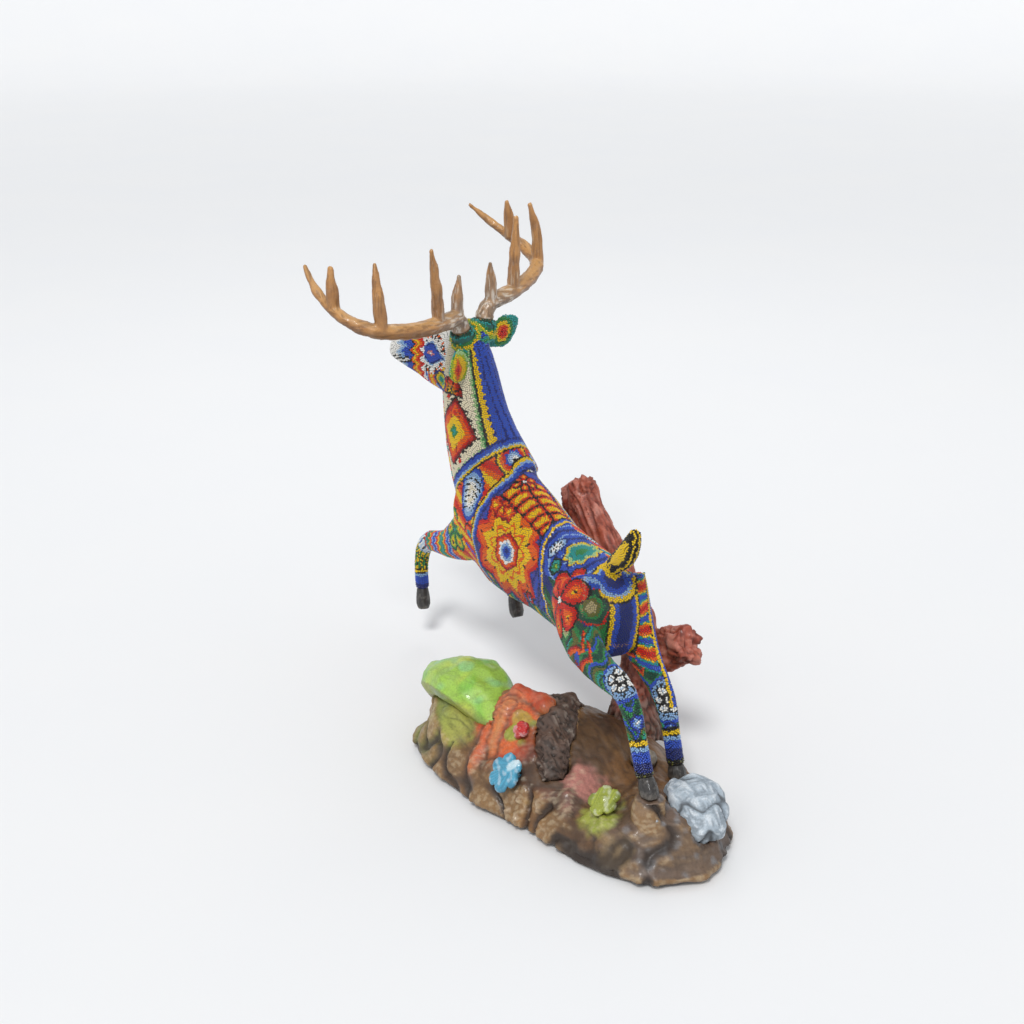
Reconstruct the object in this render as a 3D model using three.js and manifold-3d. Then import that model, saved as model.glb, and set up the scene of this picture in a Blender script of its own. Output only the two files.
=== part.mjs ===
// A leaping deer covered in seed beads, with cast antlers, over a painted landscape base.
// Millimetres, +Z up. The deer faces -X and its left side is -Y.
// The deer is laid out in its own frame: x = 0 under the root of the tail, y = 0 on the middle
// plane of the rump, z = 0 on the table. The exported group moves that frame so that the origin
// is the middle of the underside.
import * as THREE from 'three';
import { mergeVertices } from 'three/addons/utils/BufferGeometryUtils.js';
import Module from 'manifold-3d';

const wasm = await Module();
wasm.setup();

// Driving dimensions -------------------------------------------------------------------------
const gap = 0.3;                 // between pieces that touch
const beadSkin = 3;              // wax and beads together, over the carved core
const bodyLength = 334;          // root of the tail to the front of the chest
const rumpHeight = 202;          // body axis above the table, at the rump
const chestHeight = 230;         // body axis above the table, at the chest
const chestDepth = 150;          // back to breastbone
const chestWidth = 106;
const rumpDepth = 114;
const rumpWidth = 88;
const chestDrift = -16;          // the body bends to its left as it goes forward
const neckRise = 178;            // from the chest axis to the top of the neck
const neckDrift = -21;           // the neck leans to the left
const headLength = 124;
const headTurn = 33;             // degrees to the left of straight ahead
const headRoll = 4;              // degrees, right side up
const headDrop = 34;             // the nose lies this much lower than the skull
const hindSpacing = 40;          // hip joints from the middle plane
const leftHoofReach = 172;       // left hind hoof behind the root of the tail
const leftHoofHeight = 82;       // top of the rock under it
const rightHoofReach = 89;
const rightHoofHeight = 46;
const shoulderSpacing = 36;
const foreReach = 116;           // left knee in front of the shoulder
const foreTuck = 60;             // right knee in front of the shoulder
const cannonRadius = 9;
const hoofLength = 28;
const antlerSpread = 178;        // widest point of a beam from the middle plane of the head
const antlerReach = 112;         // tip of a beam in front of the burr
const beamRadius = 9.6;
const burrRadius = 11.4;
const tineRadius = 7;
const tipRadius = 2;
const tenonRadius = 4.4;
const tenonLength = 20;
const tenonPlay = 0.3;
const sleeveWall = 1.6;
const dowelRadius = 3;
const anchorRadius = 2;
const screwRadius = 3;
const screwHeadRadius = 6;
const screwHeadHeight = 3;
const feltThickness = 2;
const baseLength = 436;
const baseWidth = 222;
const baseTurn = 13;             // degrees between the base and the deer
const baseRim = 26;              // height of the edge of the base
const trunkRadius = 30;
const trunkOffset = 76;          // trunk from the middle plane, beside the belly
const stumpHeight = 1.29 * rumpHeight;  // the stump stands a little above the back
const radians = THREE.MathUtils.degToRad;

// Solids -------------------------------------------------------------------------------------
const roundSides = 14;
const legSides = 10;
const thinSides = 8;
const up = new THREE.Vector3(0, 0, 1);
const across = new THREE.Vector3(0, 1, 0);
const point = (x, y, z) => new THREE.Vector3(x, y, z);

function toSolid(geometry) {
  geometry.deleteAttribute('normal');
  geometry.deleteAttribute('uv');
  const merged = mergeVertices(geometry, 1e-4);
  return new wasm.Manifold(new wasm.Mesh({
    numProp: 3,
    vertProperties: new Float32Array(merged.attributes.position.array),
    triVerts: new Uint32Array(merged.index.array),
  }));
}

function toGeometry(solid) {
  const mesh = solid.getMesh();
  const geometry = new THREE.BufferGeometry();
  geometry.setAttribute('position', new THREE.BufferAttribute(mesh.vertProperties, mesh.numProp));
  geometry.setIndex(new THREE.BufferAttribute(mesh.triVerts, 1));
  geometry.computeVertexNormals();
  return geometry;
}

const cut = (solid, ...tools) => tools.reduce((left, tool) => left.subtract(tool), solid);
const join = (first, ...others) => others.reduce((sum, other) => sum.add(other), first);

function closedMesh(positions, indices) {
  const geometry = new THREE.BufferGeometry();
  geometry.setAttribute('position', new THREE.Float32BufferAttribute(positions, 3));
  geometry.setIndex(indices);
  return toSolid(geometry);
}

// Rings of points, one after the other, closed with a fan at each end.
function skinRings(rings, firstPole, lastPole) {
  const sides = rings[0].length;
  const points = [...rings.flat(), firstPole, lastPole];
  const first = points.length - 2;
  const last = points.length - 1;
  const indices = [];
  for (let ring = 0; ring + 1 < rings.length; ring += 1) {
    for (let side = 0; side < sides; side += 1) {
      const next = (side + 1) % sides;
      const here = ring * sides;
      const there = here + sides;
      indices.push(here + side, here + next, there + next, here + side, there + next, there + side);
    }
  }
  const end = (rings.length - 1) * sides;
  for (let side = 0; side < sides; side += 1) {
    const next = (side + 1) % sides;
    indices.push(first, next, side, last, end + side, end + next);
  }
  return closedMesh(points.flatMap((p) => p.toArray()), indices);
}

// A smooth body through sections [x, y, z, half width, half height].
function loft(sections, sides, steps, sideways = across) {
  const path = new THREE.CatmullRomCurve3(sections.map(([x, y, z]) => point(x, y, z)), false, 'catmullrom');
  const halves = sections.map(([, , , w, h]) => point(w, h, 0));
  const sizes = new THREE.CatmullRomCurve3(halves, false, 'catmullrom');
  const rings = [];
  for (let step = 0; step <= steps; step += 1) {
    const share = step / steps;
    const centre = path.getPoint(share);
    const size = sizes.getPoint(share);
    const along = path.getTangent(share);
    const side = sideways.clone().addScaledVector(along, -sideways.dot(along)).normalize();
    const rise = along.clone().cross(side);
    rings.push(Array.from({ length: sides }, (_, index) => {
      const angle = 2 * Math.PI * index / sides;
      return centre.clone()
        .addScaledVector(side, size.x * Math.cos(angle))
        .addScaledVector(rise, size.y * Math.sin(angle));
    }));
  }
  return skinRings(rings, path.getPoint(0), path.getPoint(1));
}

// The same sections, larger or smaller all round; the two ends move along the path by their own amounts.
function grow(sections, all, start = all, end = all) {
  const moved = sections.map(([x, y, z, w, h]) => [x, y, z, w + all, h + all]);
  const push = (tip, inner, amount) => {
    const away = point(...sections[tip]).sub(point(...sections[inner])).setLength(1);
    for (let axis = 0; axis < 3; axis += 1) moved[tip][axis] += away.getComponent(axis) * amount;
  };
  push(0, 1, start);
  push(sections.length - 1, sections.length - 2, end);
  return moved;
}

// A round bar between two points, with its own radius at each end.
function bar(from, to, radius, endRadius = radius, sides = legSides) {
  const length = from.distanceTo(to);
  const geometry = new THREE.CylinderGeometry(endRadius, radius, length, sides);
  const turn = new THREE.Quaternion().setFromUnitVectors(across, to.clone().sub(from).normalize());
  geometry.applyQuaternion(turn);
  geometry.translate(...from.clone().add(to).multiplyScalar(0.5));
  return toSolid(geometry);
}

// The hole that leaves the gap all round a bar.
function boreFor(from, to, radius, play = gap) {
  const along = to.clone().sub(from).setLength(play);
  return bar(from.clone().sub(along), to.clone().add(along), radius + play);
}

const between = (a, b, share) => a.clone().lerp(b, share);

// The deer -----------------------------------------------------------------------------------
const torso = [
  [16, 0, rumpHeight + 6, 9, 11],
  [3, 0, rumpHeight + 4, rumpWidth * 0.36, rumpDepth * 0.32],
  [-18, 0, rumpHeight, rumpWidth * 0.46, rumpDepth * 0.45],
  [-0.28 * bodyLength, 0, rumpHeight - 2, rumpWidth / 2, rumpDepth / 2],
  [-0.48 * bodyLength, -4, rumpHeight + 1, rumpWidth * 0.5, rumpDepth * 0.53],
  [-0.7 * bodyLength, chestDrift * 0.75, (rumpHeight + chestHeight) / 2 - 3, chestWidth / 2, chestDepth / 2],
  [-0.89 * bodyLength, chestDrift, chestHeight - 2, chestWidth * 0.49, chestDepth * 0.49],
  [-0.98 * bodyLength, chestDrift - 5, chestHeight + 3, chestWidth * 0.44, chestDepth * 0.43],
  [-bodyLength - 18, chestDrift - 7, chestHeight + 8, 20, 28],
];
const neckFoot = point(-0.92 * bodyLength, chestDrift - 2, chestHeight + 28);
const neckTop = point(-bodyLength - 12, chestDrift + neckDrift, chestHeight + neckRise + 26);
const neckAt = (share, forward, left, w, h) => {
  const place = between(neckFoot, neckTop, share);
  return [place.x - forward, place.y - left, place.z, w, h];
};
const neck = [
  neckAt(0, -7, -4, 50, 68),
  neckAt(0.22, 7, 0, 44, 61),
  neckAt(0.44, 13, 1, 38, 50),
  neckAt(0.64, 11, 1, 34.5, 43),
  neckAt(0.84, 6, 0, 30, 36),
  neckAt(1, 0, 0, 22, 26),
];

// Places on the head: forward towards the nose, side to the right, and up.
const skull = neckTop.clone().add(point(0, 7, 6));
const ahead = point(-Math.cos(radians(headTurn)), -Math.sin(radians(headTurn)), 0);
const rightward = point(-Math.sin(radians(headTurn)), Math.cos(radians(headTurn)), 0)
  .multiplyScalar(Math.cos(radians(headRoll))).addScaledVector(up, Math.sin(radians(headRoll)));
const upward = rightward.clone().cross(ahead);
const onHead = (forward, side, rise) => skull.clone()
  .addScaledVector(ahead, forward).addScaledVector(rightward, side).addScaledVector(upward, rise);
const headSection = (share, rise, w, h) => {
  const place = onHead(headLength * share, 0, rise - headDrop * share);
  return [...place.toArray(), w, h];
};
const head = [
  headSection(-0.12, 0, 10, 12),
  headSection(0, -7, 24, 30),
  headSection(0.18, -24, 27, 48),
  headSection(0.4, -23, 23.5, 39),
  headSection(0.63, -14, 18, 27),
  headSection(0.84, -6, 15, 18),
  headSection(0.97, -2, 10, 11),
];

const hipAt = (side) => point(-50, side * (hindSpacing - 14), rumpHeight + 24);
const hoofAt = {
  left: point(leftHoofReach, -hindSpacing - 6, leftHoofHeight),
  right: point(rightHoofReach, hindSpacing - 9, rightHoofHeight),
};

// A hind leg from the hip to the fetlock; shares run from the hoof up to the hip.
function hindLeg(side, hoof, bends) {
  const hip = hipAt(side);
  return bends.map(([reach, rise, out, w, h]) => [
    THREE.MathUtils.lerp(hoof.x, hip.x, reach),
    hip.y + (hoof.y - hip.y) * out,
    THREE.MathUtils.lerp(hoof.z, hip.z, rise),
    w,
    h,
  ]);
}
const leftHind = hindLeg(-1, hoofAt.left, [
  [1, 1, 0, 24, 48],
  [0.91, 0.81, 0.45, 22, 45],
  [0.775, 0.7, 0.8, 17, 33],
  [0.55, 0.635, 1, 13, 20],
  [0.345, 0.635, 1, 11, 16],
  [0.23, 0.57, 1, 10.5, 13],
  [0.155, 0.4, 1, cannonRadius, 10.5],
  [0.1, 0.24, 1, cannonRadius - 0.5, 10],
  [0.055, 0.115, 1, cannonRadius, 10.5],
]);
const rightHind = hindLeg(1, hoofAt.right, [
  [1, 1, 0, 24, 48],
  [0.89, 0.82, 0.6, 22, 43],
  [0.735, 0.69, 1, 17, 32],
  [0.52, 0.57, 1, 13, 21],
  [0.34, 0.49, 1, 11, 16.5],
  [0.215, 0.405, 1, 10.5, 13],
  [0.15, 0.295, 1, cannonRadius, 10.5],
  [0.085, 0.175, 1, cannonRadius - 0.5, 10],
  [0.035, 0.075, 1, cannonRadius, 10.5],
]);

// A fore leg from the shoulder, through the bent knee, to the fetlock.
function foreLeg(side, reach, knee, points) {
  const shoulder = point(-0.81 * bodyLength, chestDrift + side * (shoulderSpacing - 16), chestHeight + 8);
  return points.map(([forward, out, drop, w, h]) => [
    shoulder.x - forward * reach,
    shoulder.y + side * out,
    shoulder.z - drop * knee,
    w,
    h,
  ]);
}
const leftFore = foreLeg(-1, foreReach, 88, [
  [0, 4, 0, 22, 40],
  [0.26, 11, 0.35, 20, 38],
  [0.53, 14, 0.6, 17, 29],
  [0.92, 18, 0.86, 12, 17],
  [1.34, 20, 1, 10.5, 13],
  [1.58, 21, 1.22, 9.5, 11],
  [1.66, 22, 1.55, cannonRadius - 0.5, 9.5],
  [1.61, 23, 1.88, cannonRadius - 0.5, 9.5],
]);
const rightFore = foreLeg(1, foreTuck, 104, [
  [0, 8, 0, 18, 34],
  [0.3, 16, 0.34, 16, 26],
  [0.66, 20, 0.6, 13, 18],
  [1.05, 21, 0.84, 11, 13],
  [1.36, 22, 1.02, 10, 11.5],
  [1.48, 22, 1.23, cannonRadius - 0.5, 9.5],
  [1.3, 22, 1.43, cannonRadius - 0.5, 9.5],
]);
const tail = [
  [-24, 0, rumpHeight + 44, 9, 11],
  [-4, 0, rumpHeight + 62, 9, 12],
  [14, 0, rumpHeight + 76, 10, 13],
  [28, 0, rumpHeight + 93, 9, 12],
  [37, 0, rumpHeight + 111, 5.5, 6],
];

// What every limb shares: the beaded outside, the hollow of the skin and the carved core in it.
function layers(sections, sides, steps, footOpen) {
  const inner = footOpen ? beadSkin : -beadSkin;
  const coreFoot = footOpen ? 0 : -beadSkin - gap;
  return {
    outside: loft(sections, sides, steps),
    hollow: loft(grow(sections, -beadSkin, -beadSkin, inner), sides, steps),
    core: loft(grow(sections, -beadSkin - gap, -beadSkin - gap, coreFoot), sides, steps),
    clear: loft(grow(sections, gap), sides, steps),
    passage: loft(grow(sections, -beadSkin, -beadSkin, coreFoot + gap), sides, steps),
  };
}
const torsoLayers = layers(torso, roundSides, 14, false);
const neckLayers = layers(neck, roundSides, 7, false);
const headLayers = layers(head, roundSides, 9, false);
const tailLayers = layers(tail, thinSides, 6, false);
const legNames = ['left_hind', 'right_hind', 'left_fore', 'right_fore'];
const legSections = {
  left_hind: leftHind, right_hind: rightHind, left_fore: leftFore, right_fore: rightFore,
};
const legLayers = Object.fromEntries(legNames.map((name) => (
  [name, layers(legSections[name], legSides, 12, true)])));

// Antlers, laid out on the head, with their tenons -------------------------------------------
const antlerSides = { left: -1, right: 1 };
const tenonSlant = 0.34;         // the tenon leans outward by this much for each unit up
function antlerPlaces(side) {
  const spot = (forward, out, rise) => onHead(forward, side * out, rise);
  const seat = spot(-2, 24, 12);
  const axis = upward.clone().addScaledVector(rightward, side * tenonSlant).normalize();
  return { spot, seat, axis };
}

// The radius falls slowly at first and fast near the tip.
const taperPower = 2.6;
function taper(points, startRadius, endRadius, steps) {
  const last = points.length - 1;
  const sections = points.map((place, index) => {
    const radius = THREE.MathUtils.lerp(startRadius, endRadius, (index / last) ** taperPower);
    return [...place.toArray(), radius, radius];
  });
  return loft(sections, thinSides, steps, ahead);
}

function antler(side) {
  const { spot, seat, axis } = antlerPlaces(side);
  const wide = antlerSpread;
  const reach = antlerReach;
  const deep = seat.clone().addScaledVector(axis, -2 * pedicleHeight);
  const flush = seat.clone().addScaledVector(axis, gap);
  const below = bar(deep, flush, 3 * burrRadius);
  const burrTop = seat.clone().addScaledVector(axis, 9);
  const beam = taper([
    seat.clone().addScaledVector(axis, 4), spot(-5, 0.2 * wide, 30), spot(-9, 0.42 * wide, 33),
    spot(-4, 0.66 * wide, 37), spot(8, 0.9 * wide, 46), spot(0.3 * reach, wide, 56),
    spot(0.54 * reach, 1.01 * wide, 70), spot(0.8 * reach, 0.98 * wide, 89), spot(reach, 0.915 * wide, 111),
  ], beamRadius, tipRadius, 15);
  const tine = (...places) => taper(places, tineRadius, tipRadius, 4);
  const tines = [
    tine(spot(-5, 0.2 * wide, 29), spot(-7, 0.195 * wide, 55), spot(-9, 0.18 * wide, 81)),
    tine(spot(-9, 0.43 * wide, 33), spot(-12, 0.455 * wide, 80), spot(-12, 0.485 * wide, 125)),
    tine(spot(8, 0.9 * wide, 46), spot(9, 0.905 * wide, 86), spot(15, 0.88 * wide, 123)),
    tine(spot(0.54 * reach, wide, 69), spot(0.55 * reach, wide, 95), spot(0.56 * reach, 0.985 * wide, 118)),
  ];
  const tenonEnd = seat.clone().addScaledVector(axis, -tenonLength);
  const burr = bar(seat, burrTop, burrRadius, burrRadius * 0.8);
  return join(cut(join(burr, beam, ...tines), below), bar(tenonEnd, burrTop, tenonRadius));
}

// The sleeve that lines the tenon's hole in the skull.
function sleeve(side) {
  const { seat, axis } = antlerPlaces(side);
  const inner = tenonRadius + tenonPlay;
  const outer = inner + sleeveWall;
  const depth = tenonLength + gap;
  const profile = [[inner, -depth], [outer, -depth], [outer, 0], [inner, 0], [inner, -depth]];
  const geometry = new THREE.LatheGeometry(profile.map(([x, y]) => new THREE.Vector2(x, y)), legSides);
  geometry.applyQuaternion(new THREE.Quaternion().setFromUnitVectors(across, axis));
  geometry.translate(...seat);
  return toSolid(geometry);
}
function sleeveBore(side) {
  const { seat, axis } = antlerPlaces(side);
  const radius = tenonRadius + tenonPlay + sleeveWall + gap;
  const bottom = seat.clone().addScaledVector(axis, -tenonLength - 2 * gap);
  return bar(bottom, seat.clone().addScaledVector(axis, 4 * beadSkin), radius);
}

// The raised ring of the skull that carries an antler.
const pedicleRadius = burrRadius + 2.4;
const pedicleHeight = 24;
function pedicle(side, inset, above = 0) {
  const { seat, axis } = antlerPlaces(side);
  const foot = seat.clone().addScaledVector(axis, inset - pedicleHeight);
  const top = seat.clone().addScaledVector(axis, above);
  return bar(foot, top, pedicleRadius + 3 - inset, pedicleRadius - inset, legSides);
}

// An ear: a pointed leaf that springs from a stalk in the skull.
const earLength = 48;
const earWidth = 21;
function ear(side, droop) {
  const root = 15;
  const spot = (out, rise, forward) => {
    const sag = droop * (out - root) / earLength;
    return onHead(forward, side * out, rise - sag).toArray();
  };
  const sections = [
    [...spot(root, -17, -6), 4, 5],
    [...spot(24, -16, -9), 4.5, 7],
    [...spot(24 + 0.3 * earLength, -11, -12), 4.5, earWidth * 0.9],
    [...spot(24 + 0.6 * earLength, -6, -14), 4, earWidth],
    [...spot(24 + 0.88 * earLength, 0, -17), 3, earWidth * 0.55],
    [...spot(24 + earLength, 3, -18), 1.6, 3],
  ];
  return (extra) => loft(grow(sections, extra), thinSides, 7, ahead);
}
const ears = { left: ear(-1, 25), right: ear(1, 0) };

// Bars hidden inside: dowels from limb to body, anchors from hoof to rock, the rod to the trunk
const midOf = (sections, index) => point(...sections[index]);
const dowelPlaces = {
  neck_dowel: [midOf(torso, 6).add(point(0, 0, 10)), midOf(neck, 2)],
  left_hind_dowel: [midOf(torso, 3), midOf(leftHind, 2)],
  right_hind_dowel: [midOf(torso, 3).add(point(24, 0, 8)), midOf(rightHind, 2)],
  left_fore_dowel: [midOf(torso, 5).add(point(0, 0, 6)), midOf(leftFore, 2)],
  right_fore_dowel: [midOf(torso, 5).add(point(16, 8, -6)), midOf(rightFore, 2)],
};
const anchorDepth = 26;
function anchorPlaces(name, hoof) {
  const sections = legSections[name];
  const fetlock = midOf(sections, sections.length - 1);
  const down = hoof.clone().sub(fetlock).normalize();
  return [fetlock.clone().addScaledVector(down, -18), hoof.clone().addScaledVector(down, anchorDepth)];
}
const anchors = {
  left_hind_anchor: anchorPlaces('left_hind', hoofAt.left),
  right_hind_anchor: anchorPlaces('right_hind', hoofAt.right),
};
const rodHeight = rumpHeight - 4;
const rodReach = -0.4 * bodyLength;
const supportRod = [point(rodReach, 8, rodHeight), point(rodReach, trunkOffset, rodHeight)];
const supportRadius = 4;

const hoofSections = (from, along, length, wide, tall) => [0, 0.35, 0.75, 1].map((share, index) => {
  const place = from.clone().addScaledVector(along, gap + share * length);
  const swell = [0.86, 1.05, 1.1, 0.8][index];
  return [...place.toArray(), wide * swell, tall * swell];
});
function hoof(name) {
  const sections = legSections[name];
  const fetlock = midOf(sections, sections.length - 1);
  const before = midOf(sections, sections.length - 2);
  const spot = { left_hind: hoofAt.left, right_hind: hoofAt.right }[name];
  const along = spot ? spot.clone().sub(fetlock).normalize() : fetlock.clone().sub(before).normalize();
  const length = spot ? fetlock.distanceTo(spot) + 4 : hoofLength;
  const [, , , wide, tall] = sections[sections.length - 1];
  const sectionsOfHoof = hoofSections(fetlock, along, length, wide, tall);
  const body = cut(loft(sectionsOfHoof, legSides, 6), legLayers[name].clear);
  if (!spot) return body;
  const sole = new THREE.BoxGeometry(80, 80, 40);
  sole.translate(spot.x, spot.y, spot.z + gap - 20);
  return cut(body, toSolid(sole));
}

// The landscape ------------------------------------------------------------------------------
const baseMiddle = point(0, -50, 0);
const baseAlong = point(-Math.cos(radians(baseTurn)), -Math.sin(radians(baseTurn)), 0);
const baseAcross = point(-Math.sin(radians(baseTurn)), Math.cos(radians(baseTurn)), 0);
// Places on the base: u runs from -1 behind the hind hooves to 1 at the green slab,
// v from -1 on the left edge to 1 on the right edge.
const onBase = (u, v, z) => baseMiddle.clone()
  .addScaledVector(baseAlong, u * baseLength / 2).addScaledVector(baseAcross, v * baseWidth / 2).setZ(z);
const outline = new THREE.CatmullRomCurve3([
  [-1, -0.05], [-0.88, -0.58], [-0.55, -0.82], [-0.25, -0.8], [0.05, -0.94], [0.45, -0.94], [0.82, -0.8],
  [1, -0.3], [0.9, 0.3], [0.55, 0.72], [0.1, 1], [-0.4, 0.92], [-0.84, 0.55],
].map(([u, v]) => point(u, v, 0)), true, 'catmullrom');
const edgeAt = (side, sides) => outline.getPoint((sides - side) / sides);
const hillocks = [
  // u, v, height, reach
  [0.78, -0.24, 66, 0.32], [0.5, -0.3, 56, 0.3], [0.2, -0.14, 66, 0.32], [0.06, 0.3, 52, 0.4],
  [-0.72, -0.2, 46, 0.26], [-0.5, 0.35, 24, 0.3], [-0.1, -0.3, 36, 0.35], [-0.84, 0.2, 24, 0.2],
];
function groundHeight(u, v) {
  const lift = hillocks.map(([hu, hv, height, reach]) => {
    const away = Math.hypot(u - hu, (v - hv) * 0.62) / reach;
    return height * Math.exp(-away * away);
  });
  return baseRim + Math.hypot(...lift);
}
const floorHeight = feltThickness + gap;
function groundSolid() {
  const sides = 26;
  const shares = [1, 1.035, 0.99, 0.88, 0.74, 0.58, 0.4, 0.2];
  const rings = shares.map((share, ring) => Array.from({ length: sides }, (_, side) => {
    const edge = edgeAt(side, sides);
    const u = edge.x * share;
    const v = edge.y * share;
    const rim = [floorHeight, floorHeight + 8, baseRim * 0.8][ring];
    return onBase(u, v, rim ?? groundHeight(u, v));
  }));
  return skinRings(rings, onBase(0, 0, floorHeight), onBase(0, 0, groundHeight(0, 0)));
}
function footing(hoofSpot) {
  const foot = hoofSpot.clone().setZ(floorHeight);
  return bar(foot, hoofSpot, 22, 14, legSides);
}
// The clear space above a footing, so that the ground never rises round the hoof.
function hoofSpace(hoofSpot) {
  return bar(hoofSpot, hoofSpot.clone().add(point(0, 0, 70)), 17, 40, legSides);
}
function felt() {
  const sides = 28;
  const ring = (z) => Array.from({ length: sides }, (_, side) => {
    const edge = edgeAt(side, sides);
    return onBase(edge.x * 0.96, edge.y * 0.96, z);
  });
  return skinRings([ring(0), ring(feltThickness)], onBase(0, 0, 0), onBase(0, 0, feltThickness));
}

const trunkFoot = point(-34, 42, 34);
const trunkBelowRod = 1.15 * trunkRadius;   // the rod meets the upper part of the trunk
// A place along the trunk: reach as a share of the body, height as a share of the stump
const onTrunk = (reach, out, height, w, h) => (
  [-reach * bodyLength, trunkOffset + out, height * stumpHeight, w, h]);
const trunkSections = [
  [...trunkFoot.toArray(), trunkRadius + 6, trunkRadius + 6],
  onTrunk(0.144, -22, 0.33, trunkRadius - 4, trunkRadius),
  onTrunk(0.246, -4, 0.495, 20, trunkRadius),
  onTrunk(0.42, 3, (rodHeight - trunkBelowRod) / stumpHeight, 17, trunkRadius),
  onTrunk(0.61, 4, 0.77, 18, trunkRadius + 3),
  onTrunk(0.76, 2, 0.89, 18, trunkRadius + 4),
  onTrunk(0.805, 0, 1, 17, trunkRadius + 1),
];
const stubSections = [
  onTrunk(0.234, 0, 0.443, 18, 28),
  onTrunk(0.1, 5, 0.52, 18, 25),
  onTrunk(-0.04, 5, 0.625, 15, 20),
];
const trunkBody = (extra) => join(
  loft(grow(trunkSections, extra), roundSides, 10),
  loft(grow(stubSections, extra), legSides, 4),
);
function screw(shift) {
  const foot = trunkFoot.clone().add(point(shift, 0, 0)).setZ(floorHeight + gap);
  const shoulder = foot.clone().setZ(foot.z + screwHeadHeight);
  const tip = foot.clone().setZ(trunkFoot.z + 34);
  return {
    solid: join(bar(foot, shoulder, screwHeadRadius), bar(foot, tip, screwRadius)),
    bore: join(
      bar(foot.clone().setZ(0), shoulder.clone().setZ(shoulder.z + gap), screwHeadRadius + gap),
      boreFor(foot, tip, screwRadius),
    ),
  };
}
const screws = { front_trunk_screw: screw(-14), rear_trunk_screw: screw(14) };

// Shapes that stand up from the ground, each in its own piece
const slabSections = [
  [...onBase(0.3, -0.42, 62).toArray(), 14, 14],
  [...onBase(0.47, -0.36, 80).toArray(), 34, 20],
  [...onBase(0.68, -0.34, 91).toArray(), 46, 24],
  [...onBase(0.88, -0.33, 76).toArray(), 38, 24],
  [...onBase(0.98, -0.32, 57).toArray(), 20, 22],
];
const logSections = [
  [...onBase(-0.2, -0.56, 50).toArray(), 13, 13],
  [...onBase(-0.1, -0.4, 62).toArray(), 19, 18],
  [...onBase(0.08, -0.1, 78).toArray(), 25, 24],
  [...onBase(0.2, 0.16, 76).toArray(), 24, 24],
  [...onBase(0.24, 0.42, 54).toArray(), 14, 14],
];
const whiteRockSections = [
  [...onBase(-0.6, 0.22, 48).toArray(), 8, 8],
  [...onBase(-0.7, 0.26, 58).toArray(), 28, 20],
  [...onBase(-0.84, 0.2, 54).toArray(), 32, 22],
  [...onBase(-0.96, 0.1, 38).toArray(), 14, 13],
];
const stoneMiddle = point(58, 6, 58);
const stoneRadius = 15;
function roundStone(extra) {
  const geometry = new THREE.SphereGeometry(stoneRadius + extra, legSides, 6);
  geometry.scale(1, 1, 0.8);
  geometry.translate(...stoneMiddle);
  return toSolid(geometry);
}

const stalkShare = 0.24;
const eyeShare = 0.2;
// A flower: a ring of rounded petals round a domed eye, on a short stalk that enters the ground.
function flower(middle, facing, petals, radius, thick, stalk) {
  const shape = new THREE.Shape();
  const dip = 0.72;
  const steps = petals * 4;
  for (let step = 0; step < steps; step += 1) {
    const angle = 2 * Math.PI * step / steps;
    const wave = Math.abs(Math.cos(angle * petals / 2));
    const r = radius * (dip + (1 - dip) * Math.sqrt(wave));
    const place = [r * Math.cos(angle), r * Math.sin(angle)];
    if (step === 0) shape.moveTo(...place);
    else shape.lineTo(...place);
  }
  const disc = new THREE.ExtrudeGeometry(shape, { depth: thick, bevelEnabled: false });
  disc.applyQuaternion(new THREE.Quaternion().setFromUnitVectors(up, facing));
  disc.translate(...middle);
  const eyeTop = middle.clone().addScaledVector(facing, thick + 2);
  const root = middle.clone().addScaledVector(facing, -stalk);
  return join(toSolid(disc), bar(root, eyeTop, radius * stalkShare, radius * eyeShare, thinSides));
}
const leftward = baseAcross.clone().negate();
const tilted = (degrees) => leftward.clone().multiplyScalar(Math.cos(radians(degrees)))
  .addScaledVector(up, Math.sin(radians(degrees)));
// Middle, direction it faces, number of petals, radius, thickness and length of the stalk
const blossoms = {
  blue_flower: [onBase(-0.02, -0.86, 56), tilted(37), 6, 21, 3, 24],
  red_blossom: [onBase(0.1, -0.5, 84), tilted(41), 5, 9, 3, 18],
  cup_flower: [onBase(-0.56, -0.5, 62), tilted(57), 5, 17, 4, 20],
};
const blossomSolid = (name) => {
  const [middle, facing, petals, radius, thick, stalk] = blossoms[name];
  return flower(middle, facing, petals, radius, thick, stalk);
};
const blossomHollow = (name) => {
  const [middle, out, petals, radius, , stalk] = blossoms[name];
  const root = middle.clone().addScaledVector(out, -stalk);
  const under = middle.clone().addScaledVector(out, -gap);
  const above = middle.clone().addScaledVector(out, 60);
  const room = radius + 1;
  return join(boreFor(root, middle, radius * stalkShare), bar(under, above, room, room, petals * 3));
};

// Assembly -----------------------------------------------------------------------------------
const paint = (color, roughness, metalness = 0) => (
  new THREE.MeshStandardMaterial({ color, roughness, metalness }));
const wood = paint('#b98d5a', 0.7);
const beadGloss = 0.35;
const beads = {
  torso: paint('#e2622c', beadGloss),
  neck: paint('#3f5fb8', beadGloss),
  head: paint('#e8dcc0', beadGloss),
  leg: paint('#2e7f64', beadGloss),
};
const horn = paint('#a07a4c', 0.5);
const darkHoof = paint('#26262a', 0.4);
const steel = paint('#b9bcc0', 0.35, 0.9);
const brassy = paint('#b08d4a', 0.35, 0.9);
const earth = paint('#6b4a2e', 0.7);
const redwood = paint('#93503c', 0.65);

const pieces = [];
const add = (name, solid, material) => pieces.push([name, solid, material]);

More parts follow.
